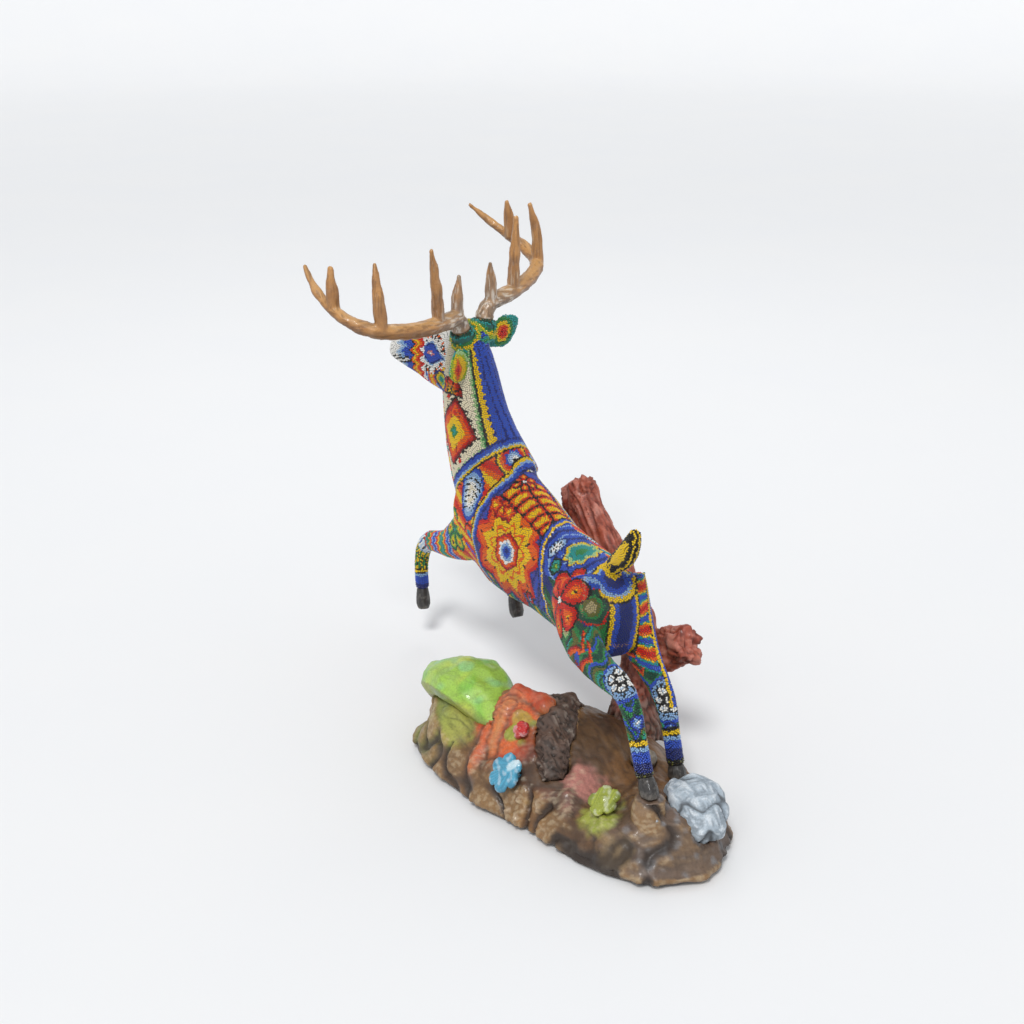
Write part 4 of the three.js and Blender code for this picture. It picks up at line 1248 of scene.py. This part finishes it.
def from_line(points, path):
    """Length along a line of points, and distance from it, for each place."""
    best = np.full(len(points), np.inf)
    along = np.zeros(len(points))
    for origin, way, size, before in zip(*stretches(path)):
        offset = points - origin
        share = np.clip(offset @ way / size ** 2, 0, 1)
        away = np.linalg.norm(offset - share[:, None] * way, axis=1)
        closer = away < best
        best = np.where(closer, away, best)
        along = np.where(closer, before + share * size, along)
    return along, best


class Sculpture:
    """A fine closed surface made from CAD nodes, pushed along its normals and painted point by point."""

    def __init__(self, name, names, cell, rounds, ground):
        self.names = names
        self.made = remeshed(joined_nodes(name, names), cell, rounds)
        self.at = points_of(self.made.data)
        self.out = normals_of(self.made.data).astype(float)
        self.relief = np.zeros(len(self.at))
        self.colour = np.tile(np.array(hue(ground)), (len(self.at), 1))

    def streaks(self, seed, rounds):
        """Random values combed along the way the surface bends least, as grain runs along a branch.

        Each point adds up its edges' directions, most those along which the normal hardly turns, and the
        main axis of that sum, eased with its neighbours', is its grain. Values then flow between points
        whose edge follows the grain.
        """
        count = len(self.at)
        first, second = edges_of(self.made.data)

        def gathered(ahead, behind):
            """Each point's sum over its edges of what comes from their other ends."""
            return np.bincount(first, ahead, count) + np.bincount(second, behind, count)

        way = unit(self.at[second] - self.at[first])
        weight = 1 / (np.linalg.norm(self.out[second] - self.out[first], axis=1) + 0.03)
        bend = np.zeros((count, 3, 3))
        pairs = list(itertools.product(range(3), range(3)))
        for row, column in pairs:
            share = way[:, row] * way[:, column] * weight
            bend[:, row, column] = gathered(share, share)
        for _ in range(6):
            beside = [gathered(bend[second, row, column], bend[first, row, column]) for row, column in pairs]
            bend = bend + np.stack(beside, 1).reshape(count, 3, 3)
            bend /= np.trace(bend, axis1=1, axis2=2)[:, None, None]
        grain = np.linalg.eigh(bend)[1][:, :, -1]
        ahead = np.abs((way * grain[first]).sum(1)) ** 6
        behind = np.abs((way * grain[second]).sum(1)) ** 6
        value = np.random.default_rng(seed).random(count)
        kept = 0.4
        total = gathered(ahead, behind) + kept
        for _ in range(rounds):
            value = (gathered(ahead * value[second], behind * value[first]) + kept * value) / total
        return np.clip((value - value.mean()) / value.std() * 0.25 + 0.5, 0, 1)

    def raise_by(self, height):
        """Pushes the surface out by a height in millimetres."""
        self.relief = self.relief + height

    def spray(self, amount, colour):
        """Mixes a colour in by an amount from 0 to 1."""
        share = np.clip(amount, 0, 1)[:, None]
        self.colour = self.colour + (np.array(hue(colour)) - self.colour) * share

    def done(self, material, body="figure"):
        """Writes the raised surface and its paint, and puts it in place of its CAD nodes."""
        mesh = self.made.data
        write_points(mesh, self.at + self.out * self.relief[:, None])
        write_colours(mesh, "paint", self.colour)
        mesh.polygons.foreach_set("use_smooth", np.ones(len(mesh.polygons), bool))
        mesh.update()
        mesh.materials.clear()
        mesh.materials.append(material)
        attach(self.made, body)
        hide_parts(*self.names)


SOOT = (0.05, 0.035, 0.025, 1)
DUST = (0.9, 0.85, 0.75, 1)


def painted_finish(name, fine, depth, rough, grain=(1, 1, 1), coat=0.0):
    """Paint from the mesh, made uneven, with fine grain in bump and roughness."""
    look = Finish(name)
    speck = look.noise(fine, 4.0, 0.6, at=look.stretched(grain))
    broad = look.noise(fine / 9, 3.0, 0.55)
    darker = look.mix(speck.between(0.35, 0.75) * 0.3, look.own("paint"), SOOT)
    paler = look.mix(broad.between(0.5, 0.8) * 0.05, darker, DUST)
    look.set(Base_Color=paler, Roughness=speck * 0.3 + rough, Coat_Weight=coat)
    look.bump(speck * 0.6 + broad * 0.4, depth * MM, 0.7)
    return look.material


RELIEF_CENTRE = (-26, -62, 82)
ROSETTE_CENTRE = (-48, -52, 92)
LOG_LINE = [(-74, 40, 96), (10, -10, 92), (60, -40, 60)]
# Roots and cords of the relief: the line of each, its width, its height and its paint
ROOTS = [
    ([(-66, -40, 94), (-58, -62, 84), (-46, -84, 62), (-34, -106, 36)], 8.5, 6.0, "d0602f"),
    ([(-62, -38, 95), (-36, -26, 101), (-8, -28, 98), (12, -44, 84)], 8.0, 4.6, "c64a26"),
    ([(-50, -52, 92), (-34, -82, 62), (-12, -98, 46)], 6.0, 3.4, "d98a4a"),
    ([(14, -44, 84), (26, -74, 62), (52, -84, 48), (84, -50, 48)], 8.0, 4.6, "a85a40"),
    ([(60, -20, 66), (76, -36, 54), (96, -52, 44)], 9.0, 4.2, "cf8f86"),
    ([(-12, -98, 46), (24, -116, 32), (60, -112, 26)], 9.0, 3.4, "5e4a36"),
    ([(84, -50, 48), (110, -66, 40), (150, -64, 34)], 9.0, 3.2, "6b523a"),
    ([(96, 40, 50), (120, 8, 50), (130, -24, 44)], 8.0, 2.8, "75583c"),
    ([(-120, -20, 84), (-90, 10, 90), (-60, 20, 96)], 10.0, 2.6, "7d5f3f"),
]
# Two sprays of leaves: the heart that each springs from, then each leaf's bearing, length and paint
LEAVES = [
    ((-9, -56, 84), [
        (20, 27, "8fa03a"), (95, 25, "7e9a35"), (160, 30, "b59a35"), (230, 30, "93a838"), (300, 27, "a8b040"),
    ]),
    ((133, -29, 52), [(185, 30, "9aa63c"), (240, 28, "b4b848"), (300, 27, "8c9a38"), (350, 28, "a3ad40")]),
]
# Airbrushed clouds of colour: the middle, reach and paint of each
CLOUDS = [
    ((75, -22, 58), 26, "c98478"), ((132, -34, 50), 27, "98a03c"), ((-96, -92, 48), 34, "a9b04e"),
    ((-136, -84, 44), 30, "9fb878"), ((60, -98, 34), 20, "a68a4a"), ((176, -40, 30), 24, "8a7350"),
]


def landscape_base():
    """The cast ground: rough rim, roots, leaves, a rosette and thrown pebbles, airbrushed and dry-brushed,
    with painted shade and highlights.
    """
    base = Sculpture("landscape_base", ["base_casting"], 2.6, 5, "74502c")
    at = base.at
    side = 1 - soft(base.out[:, 2], 0.35, 0.75)
    lumps = ripples(at, 62, 21) * 2.2
    folds = (creases(at, 58, 22, (1, 1, 1.5)) - 0.6) * 7.0 * side
    strokes = base.streaks(29, 12)
    bark = (creases(at, 22, 23, (2.4, 2.4, 1)) - 0.5) * 1.3 * side
    top = (creases(at, 15, 24, (3.5, 1, 1)) - 0.5) * 1.2 * (1 - side)
    base.raise_by(lumps + folds + bark + top + (strokes - 0.5) * 0.4)
    base.spray(soft(ripples(at, 90, 25), -0.4, 0.9) * 0.6, "836033")
    base.spray(side * soft(ripples(at, 70, 26), -0.7, 0.6), "4d3c2c")
    relief = np.linalg.norm((at - np.array(RELIEF_CENTRE)) / (1.12, 1.0, 1.25), axis=1)
    inside = 1 - soft(relief + ripples(at, 30, 27) * 5, 40, 56)
    base.raise_by(inside * 3.0)
    base.spray(inside, "b5421c")
    base.spray(inside * soft(ripples(at, 36, 28), -0.1, 0.9), "d4622a")
    for root in ROOTS:
        raise_root(base, *root)
    for heart, leaves in LEAVES:
        for leaf in leaves:
            raise_leaf(base, np.array(heart), *leaf)
    raise_rosette(base)
    airbrush(base, side, strokes)
    throw_pebbles(base)
    # Painted shade in the hollows, and a dry brush that is partly painted highlight on the ridges
    dry_brush_and_painted_light(base, side, inside, base.relief - lumps)
    # The relief fades out at the foot, which darkens towards the floor as painted shade
    foot = 1 - soft(at[:, 2], 3, 9)
    base.relief = base.relief * (1 - foot)
    base.spray(foot * 0.8, "2b1d13")
    base.done(painted_finish("painted cast ground", 420, 0.35, 0.38, coat=0.12))


def raise_root(base, path, width, height, colour):
    """A ridge along a line: a bell curve across it with grooves lengthwise, and a dark line on each side."""
    away = from_line(base.at, path)[1]
    body = np.exp(-(away / width) ** 2)
    grooves = np.cos(away * 1.1 + ripples(base.at, 26, 31) * 2.2) * 0.5 * body
    base.raise_by(body * height + grooves)
    base.spray(body * 0.85, colour)
    rim = soft(away, width * 0.9, width * 1.3) * (1 - soft(away, width * 1.3, width * 1.9))
    base.spray(rim * 0.7, "3a2618")


def raise_leaf(base, heart, bearing, length, colour):
    """A leaf that swells and narrows as a sine along its length, domed across, with slanted veins."""
    angle = math.radians(bearing)
    way = np.array([math.cos(angle), 0.7 * math.sin(angle), 0.62 * math.sin(angle)])
    way /= np.linalg.norm(way)
    offset = base.at - heart
    along = offset @ way
    across = np.linalg.norm(offset - along[:, None] * way, axis=1)
    half = np.maximum(0.4 * length * np.sin(np.pi * np.clip(along / length, 0, 1)) ** 0.8, 0.01)
    leaf = 1 - soft(across / half, 0.85, 1.1)
    leaf *= (along > 5) & (along < length)
    veins = wave(along - 0.8 * across, 4.4)
    base.raise_by(leaf * (2.6 - 1.2 * across / half + 0.6 * veins))
    base.spray(leaf * 0.85, colour)
    base.spray(leaf * (1 - soft(across, 0.6, 2.0)) * 0.8, "4d5a20")


def raise_rosette(base):
    """A domed disc with a spiral groove: distance plus a share of the bearing, as a wave."""
    x, y, z = (base.at - np.array(ROSETTE_CENTRE)).T
    far = np.sqrt(x * x + y * y + z * z)
    spiral = wave(far * 1.0 + np.arctan2(y, x) * 5.2 / math.tau, 5.2)
    disc = 1 - soft(far, 15, 18)
    base.raise_by(disc * (1.5 + 1.7 * spiral))
    base.spray(disc * (1 - spiral) * 0.6, "7c2a16")
    base.spray(disc * spiral * 0.4, "e08650")


def airbrush(base, side, strokes):
    """A green front, a grey rear, dark brush strokes, shade below the log and clouds of colour."""
    at = base.at
    west = 1 - soft(at[:, 0] + ripples(at, 40, 33) * 9, -130, -88)
    base.spray(west * (1 - side) * 0.85, "8c9a44")
    base.spray(west * side * 0.55, "7a7440")
    east = soft(at[:, 0] + ripples(at, 28, 34) * 12, 128, 172)
    base.spray(east * 0.45, "5b5a5c")
    base.spray(east * soft(ripples(at, 15, 35, (2.2, 1, 1)), 0.5, 1.4) * 0.4, "98a2aa")
    base.spray(east * side * 0.7, "33271e")
    base.spray((1 - soft(strokes, 0.15, 0.5)) * 0.25, "3a2a1c")
    shade = 1 - soft(from_line(at, LOG_LINE)[1] + ripples(at, 26, 38) * 6, 34, 60)
    base.spray(shade * soft(at[:, 0], -20, 0) * 0.62, "45352a")
    for place, reach, colour in CLOUDS:
        away = np.linalg.norm(at - np.array(place), axis=1) + ripples(at, 16, 39) * 4
        base.spray((1 - soft(away, reach * 0.55, reach * 1.1)) * 0.72, colour)


def throw_pebbles(base):
    """Small pale stones in one patch of the rim."""
    away = np.linalg.norm(base.at - np.array((52, -86, 30)), axis=1)
    pebbles = soft(ripples(base.at, 12, 36), 0.7, 1.2) * (1 - soft(away, 22, 34))
    base.raise_by(pebbles * 3.5)
    base.spray(pebbles * 0.7, "b7ad9c")


def dry_brush_and_painted_light(base, side, inside, height):
    """Painted shade in the hollows, and a pale dry brush on the ridges that is partly painted highlight, less
    of it on the relief.
    """
    # Painted shade in the hollows
    base.spray((1 - soft(height, -1.6, 0.6)) * 0.8, "21150d")
    # Golden dry brush on the ridges of the sides, partly painted highlight
    base.spray(side * soft(height, 0.4, 2.6) * 0.45, "b08550")
    # Pale dry brush on the highest ridges, partly painted highlight
    dry_brush_and_highlight = soft(height, 1.2, 3.0) * soft(ripples(base.at, 7, 37), -0.2, 0.8)
    base.spray(dry_brush_and_highlight * (0.3 - 0.2 * inside), "d6c4a2")


def slab():
    """A smooth lime boulder with fine strokes, turquoise and yellow blushes and a brown edge below, which is
    painted shade on its steep and lower sides.
    """
    stone = Sculpture("lime_slab", ["green_slab"], 2.2, 9, "9cc44c")
    at = stone.at
    strokes = creases(at, 9, 41, (3.2, 3.2, 1))
    stone.raise_by(ripples(at, 40, 42) * 1.4 + (strokes - 0.7) * 0.35)
    stone.spray(soft(ripples(at, 55, 43), -0.2, 0.9) * 0.8, "c3d34c")
    stone.spray(soft(ripples(at, 34, 44), 0.35, 1.1) * 0.45, "7cc89a")
    stone.spray(soft(ripples(at, 40, 45), 0.3, 1.2) * 0.5, "62b83a")
    stone.spray((1 - soft(at[:, 2] + ripples(at, 24, 46) * 5, 52, 80)) * 0.75, "a9a255")
    # Brown on the faces that turn sideways and down: painted shade
    stone.spray((1 - soft(stone.out[:, 2], 0.05, 0.4)) * 0.55, "77683a")
    stone.spray((1 - soft(strokes, 0.1, 0.5)) * 0.25, "5f6a2a")
    stone.done(painted_finish("lime airbrushed stone", 500, 0.2, 0.3, coat=0.25))


def log():
    """A bark log with deep pits near its top and combed strokes below, dark with a grey dry brush."""
    bark = Sculpture("bark_log_relief", ["bark_log"], 1.7, 5, "57443a")
    at = bark.at
    pits = soft(ripples(at, 9, 51), 0.55, 1.1)
    combed = bark.streaks(52, 12)
    bark.raise_by(ripples(at, 26, 53) * 1.8 - pits * 2.2 + (combed - 0.5) * 1.7)
    bark.spray(soft(ripples(at, 40, 54), -0.3, 0.9) * 0.5, "6b4d3c")
    bark.spray(pits * 0.8, "1c130d")
    bark.spray((1 - soft(combed, 0.2, 0.5)) * 0.7, "241912")
    bark.spray(soft(combed, 0.55, 0.85) * soft(ripples(at, 18, 55), -0.2, 0.7) * 0.5, "a3968a")
    bark.done(painted_finish("pitted bark paint", 600, 0.3, 0.5, coat=0.05))


def trunk():
    """Driftwood: combed grooves that run up the wood, torn ends, red-brown above and grey bark below, with
    painted shade in the grooves and painted highlights on their crests.
    """
    wood = Sculpture("driftwood", ["driftwood_trunk"], 2.1, 6, "9c4632")
    at = wood.at
    lower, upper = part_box("driftwood_trunk")
    floor, top = lower[2] / MM, upper[2] / MM
    lean = at.copy()             # upright grain follows the stump's lean
    lean[:, 0] += np.maximum(at[:, 2] - floor - 84, 0) * 1.35
    stub = soft(at[:, 0], -40, -6) * soft(at[:, 2], 96, 116)
    upright = creases(lean, 11, 61, (1, 1, 9))
    grain = wood.streaks(62, 22)
    level = creases(at, 10, 63, (7, 1, 1.4))
    groove = upright * (1 - stub) + level * stub
    torn = np.maximum(soft(at[:, 2], top - 16, top - 4), soft(at[:, 0], 4, 14) * (at[:, 2] > 100))
    wood.raise_by(ripples(at, 34, 64) * 1.8 + (groove - 0.55) * 3.4 + (grain - 0.5) * 2.4)
    wood.raise_by(torn * (ripples(at, 13, 65) * 2.6 + (creases(at, 9, 66) - 0.6) * 2.4))
    wood.spray(soft(ripples(at, 46, 67, (1, 1, 3)), -0.4, 0.8) * 0.6, "b35a41")
    # Pink painted highlights on the crests between the grooves
    wood.spray(soft(groove, 0.72, 1.0) * soft(ripples(at, 22, 68), -0.5, 0.6) * 0.55, "dc9784")
    # Painted shade in the grooves
    wood.spray((1 - soft(groove, 0.1, 0.5)) * 0.75, "4e1e14")
    wood.spray((1 - soft(grain, 0.2, 0.5)) * 0.5, "561f14")
    wood.spray(soft(grain, 0.6, 0.9) * 0.35, "cf8168")
    wood.spray(torn * soft(ripples(at, 9, 69), -0.1, 0.8) * 0.5, "c77a66")
    bark = 1 - soft(at[:, 2] + ripples(at, 30, 70) * 8, 62, 96)
    wood.spray(bark * 0.8, "5b4437")
    # Painted shade, darker still in the grooves of the bark
    wood.spray(bark * (1 - soft(groove, 0.2, 0.55)) * 0.8, "241a14")
    wood.spray(bark * soft(groove, 0.8, 1.0) * 0.4, "a09488")
    wood.relief = wood.relief * soft(at[:, 2], 22, 30)
    wood.done(painted_finish("painted driftwood", 520, 0.3, 0.42, (1, 1, 0.25), 0.1))


def pale_rock():
    """The white rock under the hind hooves, split by dark cracks and combed."""
    rock = Sculpture("pale_rock", ["white_rock"], 1.9, 4, "a9b6c0")
    at = rock.at
    cracks = creases(at, 38, 71, (1.6, 1, 1))
    combed = rock.streaks(72, 10)
    rock.raise_by((cracks - 0.55) * 3.6 + (combed - 0.5) * 0.9)
    rock.spray(soft(ripples(at, 30, 73), -0.2, 0.9) * 0.6, "8794a0")
    rock.spray((1 - soft(cracks, 0.08, 0.42)) * 0.85, "33363a")
    rock.spray((1 - soft(combed, 0.2, 0.5)) * 0.5, "6a727a")
    rock.spray(soft(combed, 0.5, 0.85) * soft(cracks, 0.4, 0.8) * 0.6, "e4eaee")
    rock.done(painted_finish("dry-brushed pale rock", 480, 0.3, 0.5))


def blossom(name, node, cell, ground, edge, heart, petals):
    """A painted flower: petals combed outward from the middle, with a paler rim and a marked heart."""
    flower = Sculpture(name, [node], cell, 4, ground)
    at = flower.at
    lower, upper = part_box(node)
    middle = middle_of(node)
    reach = max(upper[0] - lower[0], upper[2] - lower[2]) / 2 / MM
    out = unit(flower.out[np.linalg.norm(at - middle, axis=1) < reach].mean(0)[None])[0]
    right = unit(np.cross((0, 0, 1.0), out)[None])[0]
    x, y = (at - middle) @ right, (at - middle) @ np.cross(out, right)
    far = np.hypot(x, y)
    veins = wave(np.arctan2(y, x), math.tau / (petals * 5))
    cup = soft(far, 0.12 * reach, 0.4 * reach) * (1 - soft(far, 0.8 * reach, 1.05 * reach))
    flower.raise_by(1.9 + (veins - 0.5) * 0.9 * cup - cup * 0.4)
    flower.spray(cup * (1 - veins) * 0.55, edge)
    flower.spray(soft(far, 0.72 * reach, reach) * 0.65, edge)
    flower.spray((1 - soft(far, 0.16 * reach, 0.3 * reach)) * 0.85, heart)
    flower.spray(soft(ripples(at, 9, 81), 0.2, 1.0) * 0.25, "ffffff")
    finish = painted_finish(name.replace("_", " ") + " paint", 900, 0.15, 0.32, coat=0.3)
    flower.done(finish)


def pebble():
    """The round grey-brown stone behind the log, with painted shade on its lower side."""
    stone = Sculpture("pebble_stone", ["round_stone"], 1.3, 5, "857a6c")
    at = stone.at
    stone.raise_by(ripples(at, 12, 91) * 0.7)
    stone.spray(soft(ripples(at, 8, 92), 0.0, 1.0) * 0.5, "b8ae9e")
    # Dark on the lower side of the stone: painted shade
    stone.spray((1 - soft(stone.out[:, 2], -0.2, 0.4)) * 0.7, "40352a")
    stone.done(painted_finish("pebble paint", 700, 0.2, 0.5))


def hooves():
    """Dark horn with a paler combed wall and a worn rim."""
    look = painted_finish("dark horn", 1200, 0.12, 0.34, (1, 1, 0.2), 0.3)
    for limb in LIMBS:
        hoof = Sculpture(f"{limb}_hoof_horn", [f"{limb}_hoof"], 0.9, 3, "1f1d1c")
        at = hoof.at
        lower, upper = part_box(f"{limb}_hoof")
        low, high = lower[2] / MM, upper[2] / MM
        combed = creases(at, 3.2, 95, (1, 1, 6))
        hoof.raise_by((combed - 0.5) * 0.3)
        hoof.spray(soft(combed, 0.6, 1.0) * soft(ripples(at, 9, 96), -0.3, 0.8) * 0.35, "77716a")
        hoof.spray((1 - soft(at[:, 2], low + 2, low + 8)) * 0.4, "6d655c")
        hoof.spray(soft(at[:, 2], high - 4, high - 1) * 0.5, "0c0c0d")
        hoof.done(look)


def antlers():
    """Tan antler, grey and pearled near the burr, with painted shade below and a painted highlight on top,
    with pale streaks and worn tips.
    """
    look = painted_finish("antler", 1100, 0.16, 0.3, coat=0.18)
    for side, seed in (("left", 101), ("right", 121)):
        node = f"antler_{side}"
        horn = Sculpture(f"{side}_antler_horn", [node], 1.4, 7, "bd874c")
        at = horn.at
        seat = middle_of(f"{node}_sleeve")
        far = np.linalg.norm(at - seat, axis=1)
        above = soft(far, 12, 18)
        pearls = soft(ripples(at, 4.2, seed), 0.3, 1.0) * (1 - soft(far, 30, 62))
        streaks = horn.streaks(seed + 1, 26)
        fine = horn.streaks(seed + 2, 12)
        height = 0.9 + pearls * 0.45 + (streaks - 0.5) * 0.8 + ripples(at, 24, seed + 3) * 0.5
        horn.raise_by(height * above)
        horn.spray(soft(ripples(at, 42, seed + 4), -0.3, 0.9) * 0.42, "8f5c30")
        # Painted shade on the faces that turn down
        horn.spray((1 - soft(horn.out[:, 2], -0.5, 0.35)) * 0.6, "5a3a20")
        # Painted highlight on the faces that turn up
        horn.spray(soft(horn.out[:, 2], 0.1, 0.8) * 0.5, "d8a868")
        horn.spray((1 - soft(streaks, 0.15, 0.55)) * 0.5, "5a3c24")
        horn.spray((1 - soft(far, 30, 88)) * 0.5, "8a7f72")
        horn.spray((1 - soft(far, 36, 104)) * soft(fine, 0.55, 0.85) * 0.7, "ddd6ca")
        horn.spray((1 - soft(far, 28, 60)) * (1 - soft(fine, 0.15, 0.45)) * 0.6, "3d352c")
        horn.spray(soft(fine, 0.6, 0.9) * soft(ripples(at, 30, seed + 5), 0.2, 1.2) * 0.2, "efdcb4")
        tip = soft(at[:, 2] - seat[2], 66, 84) * (1 - soft(far, 84, 96))
        horn.spray(tip * 0.75, "4c4a48")
        horn.done(look, node)


# ---------------------------------------------------------------- the pieces inside

DARK_METAL = (0.05, 0.05, 0.05, 1)


def metal_finish(name, colour, rough, scale):
    """Turned metal with faint drawn lines."""
    look = Finish(name)
    lines = look.noise(scale, 3.0, 0.6, at=look.stretched((1, 1, 0.08)))
    look.set(Base_Color=look.mix(lines.between(0.3, 0.8) * 0.35, hue(colour), DARK_METAL))
    look.set(Roughness=lines * 0.25 + rough, Metallic=1.0)
    look.bump(lines, 0.05 * MM, 0.5)
    return look.material


def wood_finish(name, pale, dark, scale):
    """Carved wood: long cells mixed with broad noise, and fine pores drawn out along the grain."""
    look = Finish(name)
    warp = look.noise(scale / 8, 3.0, 0.6)
    rings = look.cells(scale / 3, look.stretched((0.25, 1, 1)))
    pores = look.noise(scale * 5, 2.0, 0.6, at=look.stretched((0.15, 1, 1)))
    tone = (rings * 0.6 + warp * 0.6).between(0.2, 0.9)
    look.set(Base_Color=look.mix(tone, hue(pale), hue(dark)), Roughness=pores * 0.25 + 0.5)
    look.bump(pores, 0.15 * MM, 0.6)
    return look.material


def felt_finish():
    """Short matted fibres."""
    look = Finish("brown felt")
    fibres = look.noise(1500, 4.0, 0.7, warp=1.5)
    look.set(Base_Color=look.mix(fibres.between(0.3, 0.7), hue("3b2c22"), hue("5d4838")))
    look.set(Roughness=fibres * 0.1 + 0.88)
    look.bump(fibres, 0.3 * MM, 0.8)
    return look.material


def hidden_pieces():
    """Finishes for the CAD nodes that stay as they are, by the last word of their names."""
    carved = wood_finish("carved light wood", "c9a270", "9c7446", 160)
    dowel = wood_finish("beech dowel", "d9b98a", "b98f5c", 260)
    steel = metal_finish("bright steel", "a7a9ab", 0.25, 900)
    brass = metal_finish("brass tube", "c79a4c", 0.22, 1100)
    looks = {
        "core": carved, "dowel": dowel, "sleeve": brass, "anchor": steel, "rod": steel, "screw": steel,
        "felt": felt_finish(),
    }
    for name, made in nodes.items():
        look = looks.get(name.split("_")[-1])
        for slot in made.material_slots if look else ():
            slot.material = look


# ---------------------------------------------------------------- the making

camera()
studio()
beaded_buck()
antlers()
hooves()
landscape_base()
slab()
log()
trunk()
pale_rock()
blossom("blue_flower_relief", "blue_flower", 1.1, "4fa6c4", "2c6f8f", "c7dfe6", 5)
blossom("red_blossom_relief", "red_blossom", 0.8, "d42f2c", "8f1a18", "f0a0a0", 5)
blossom("cup_flower_relief", "cup_flower", 1.1, "a9b23a", "5f6f2c", "d8d36a", 5)
pebble()
hidden_pieces()
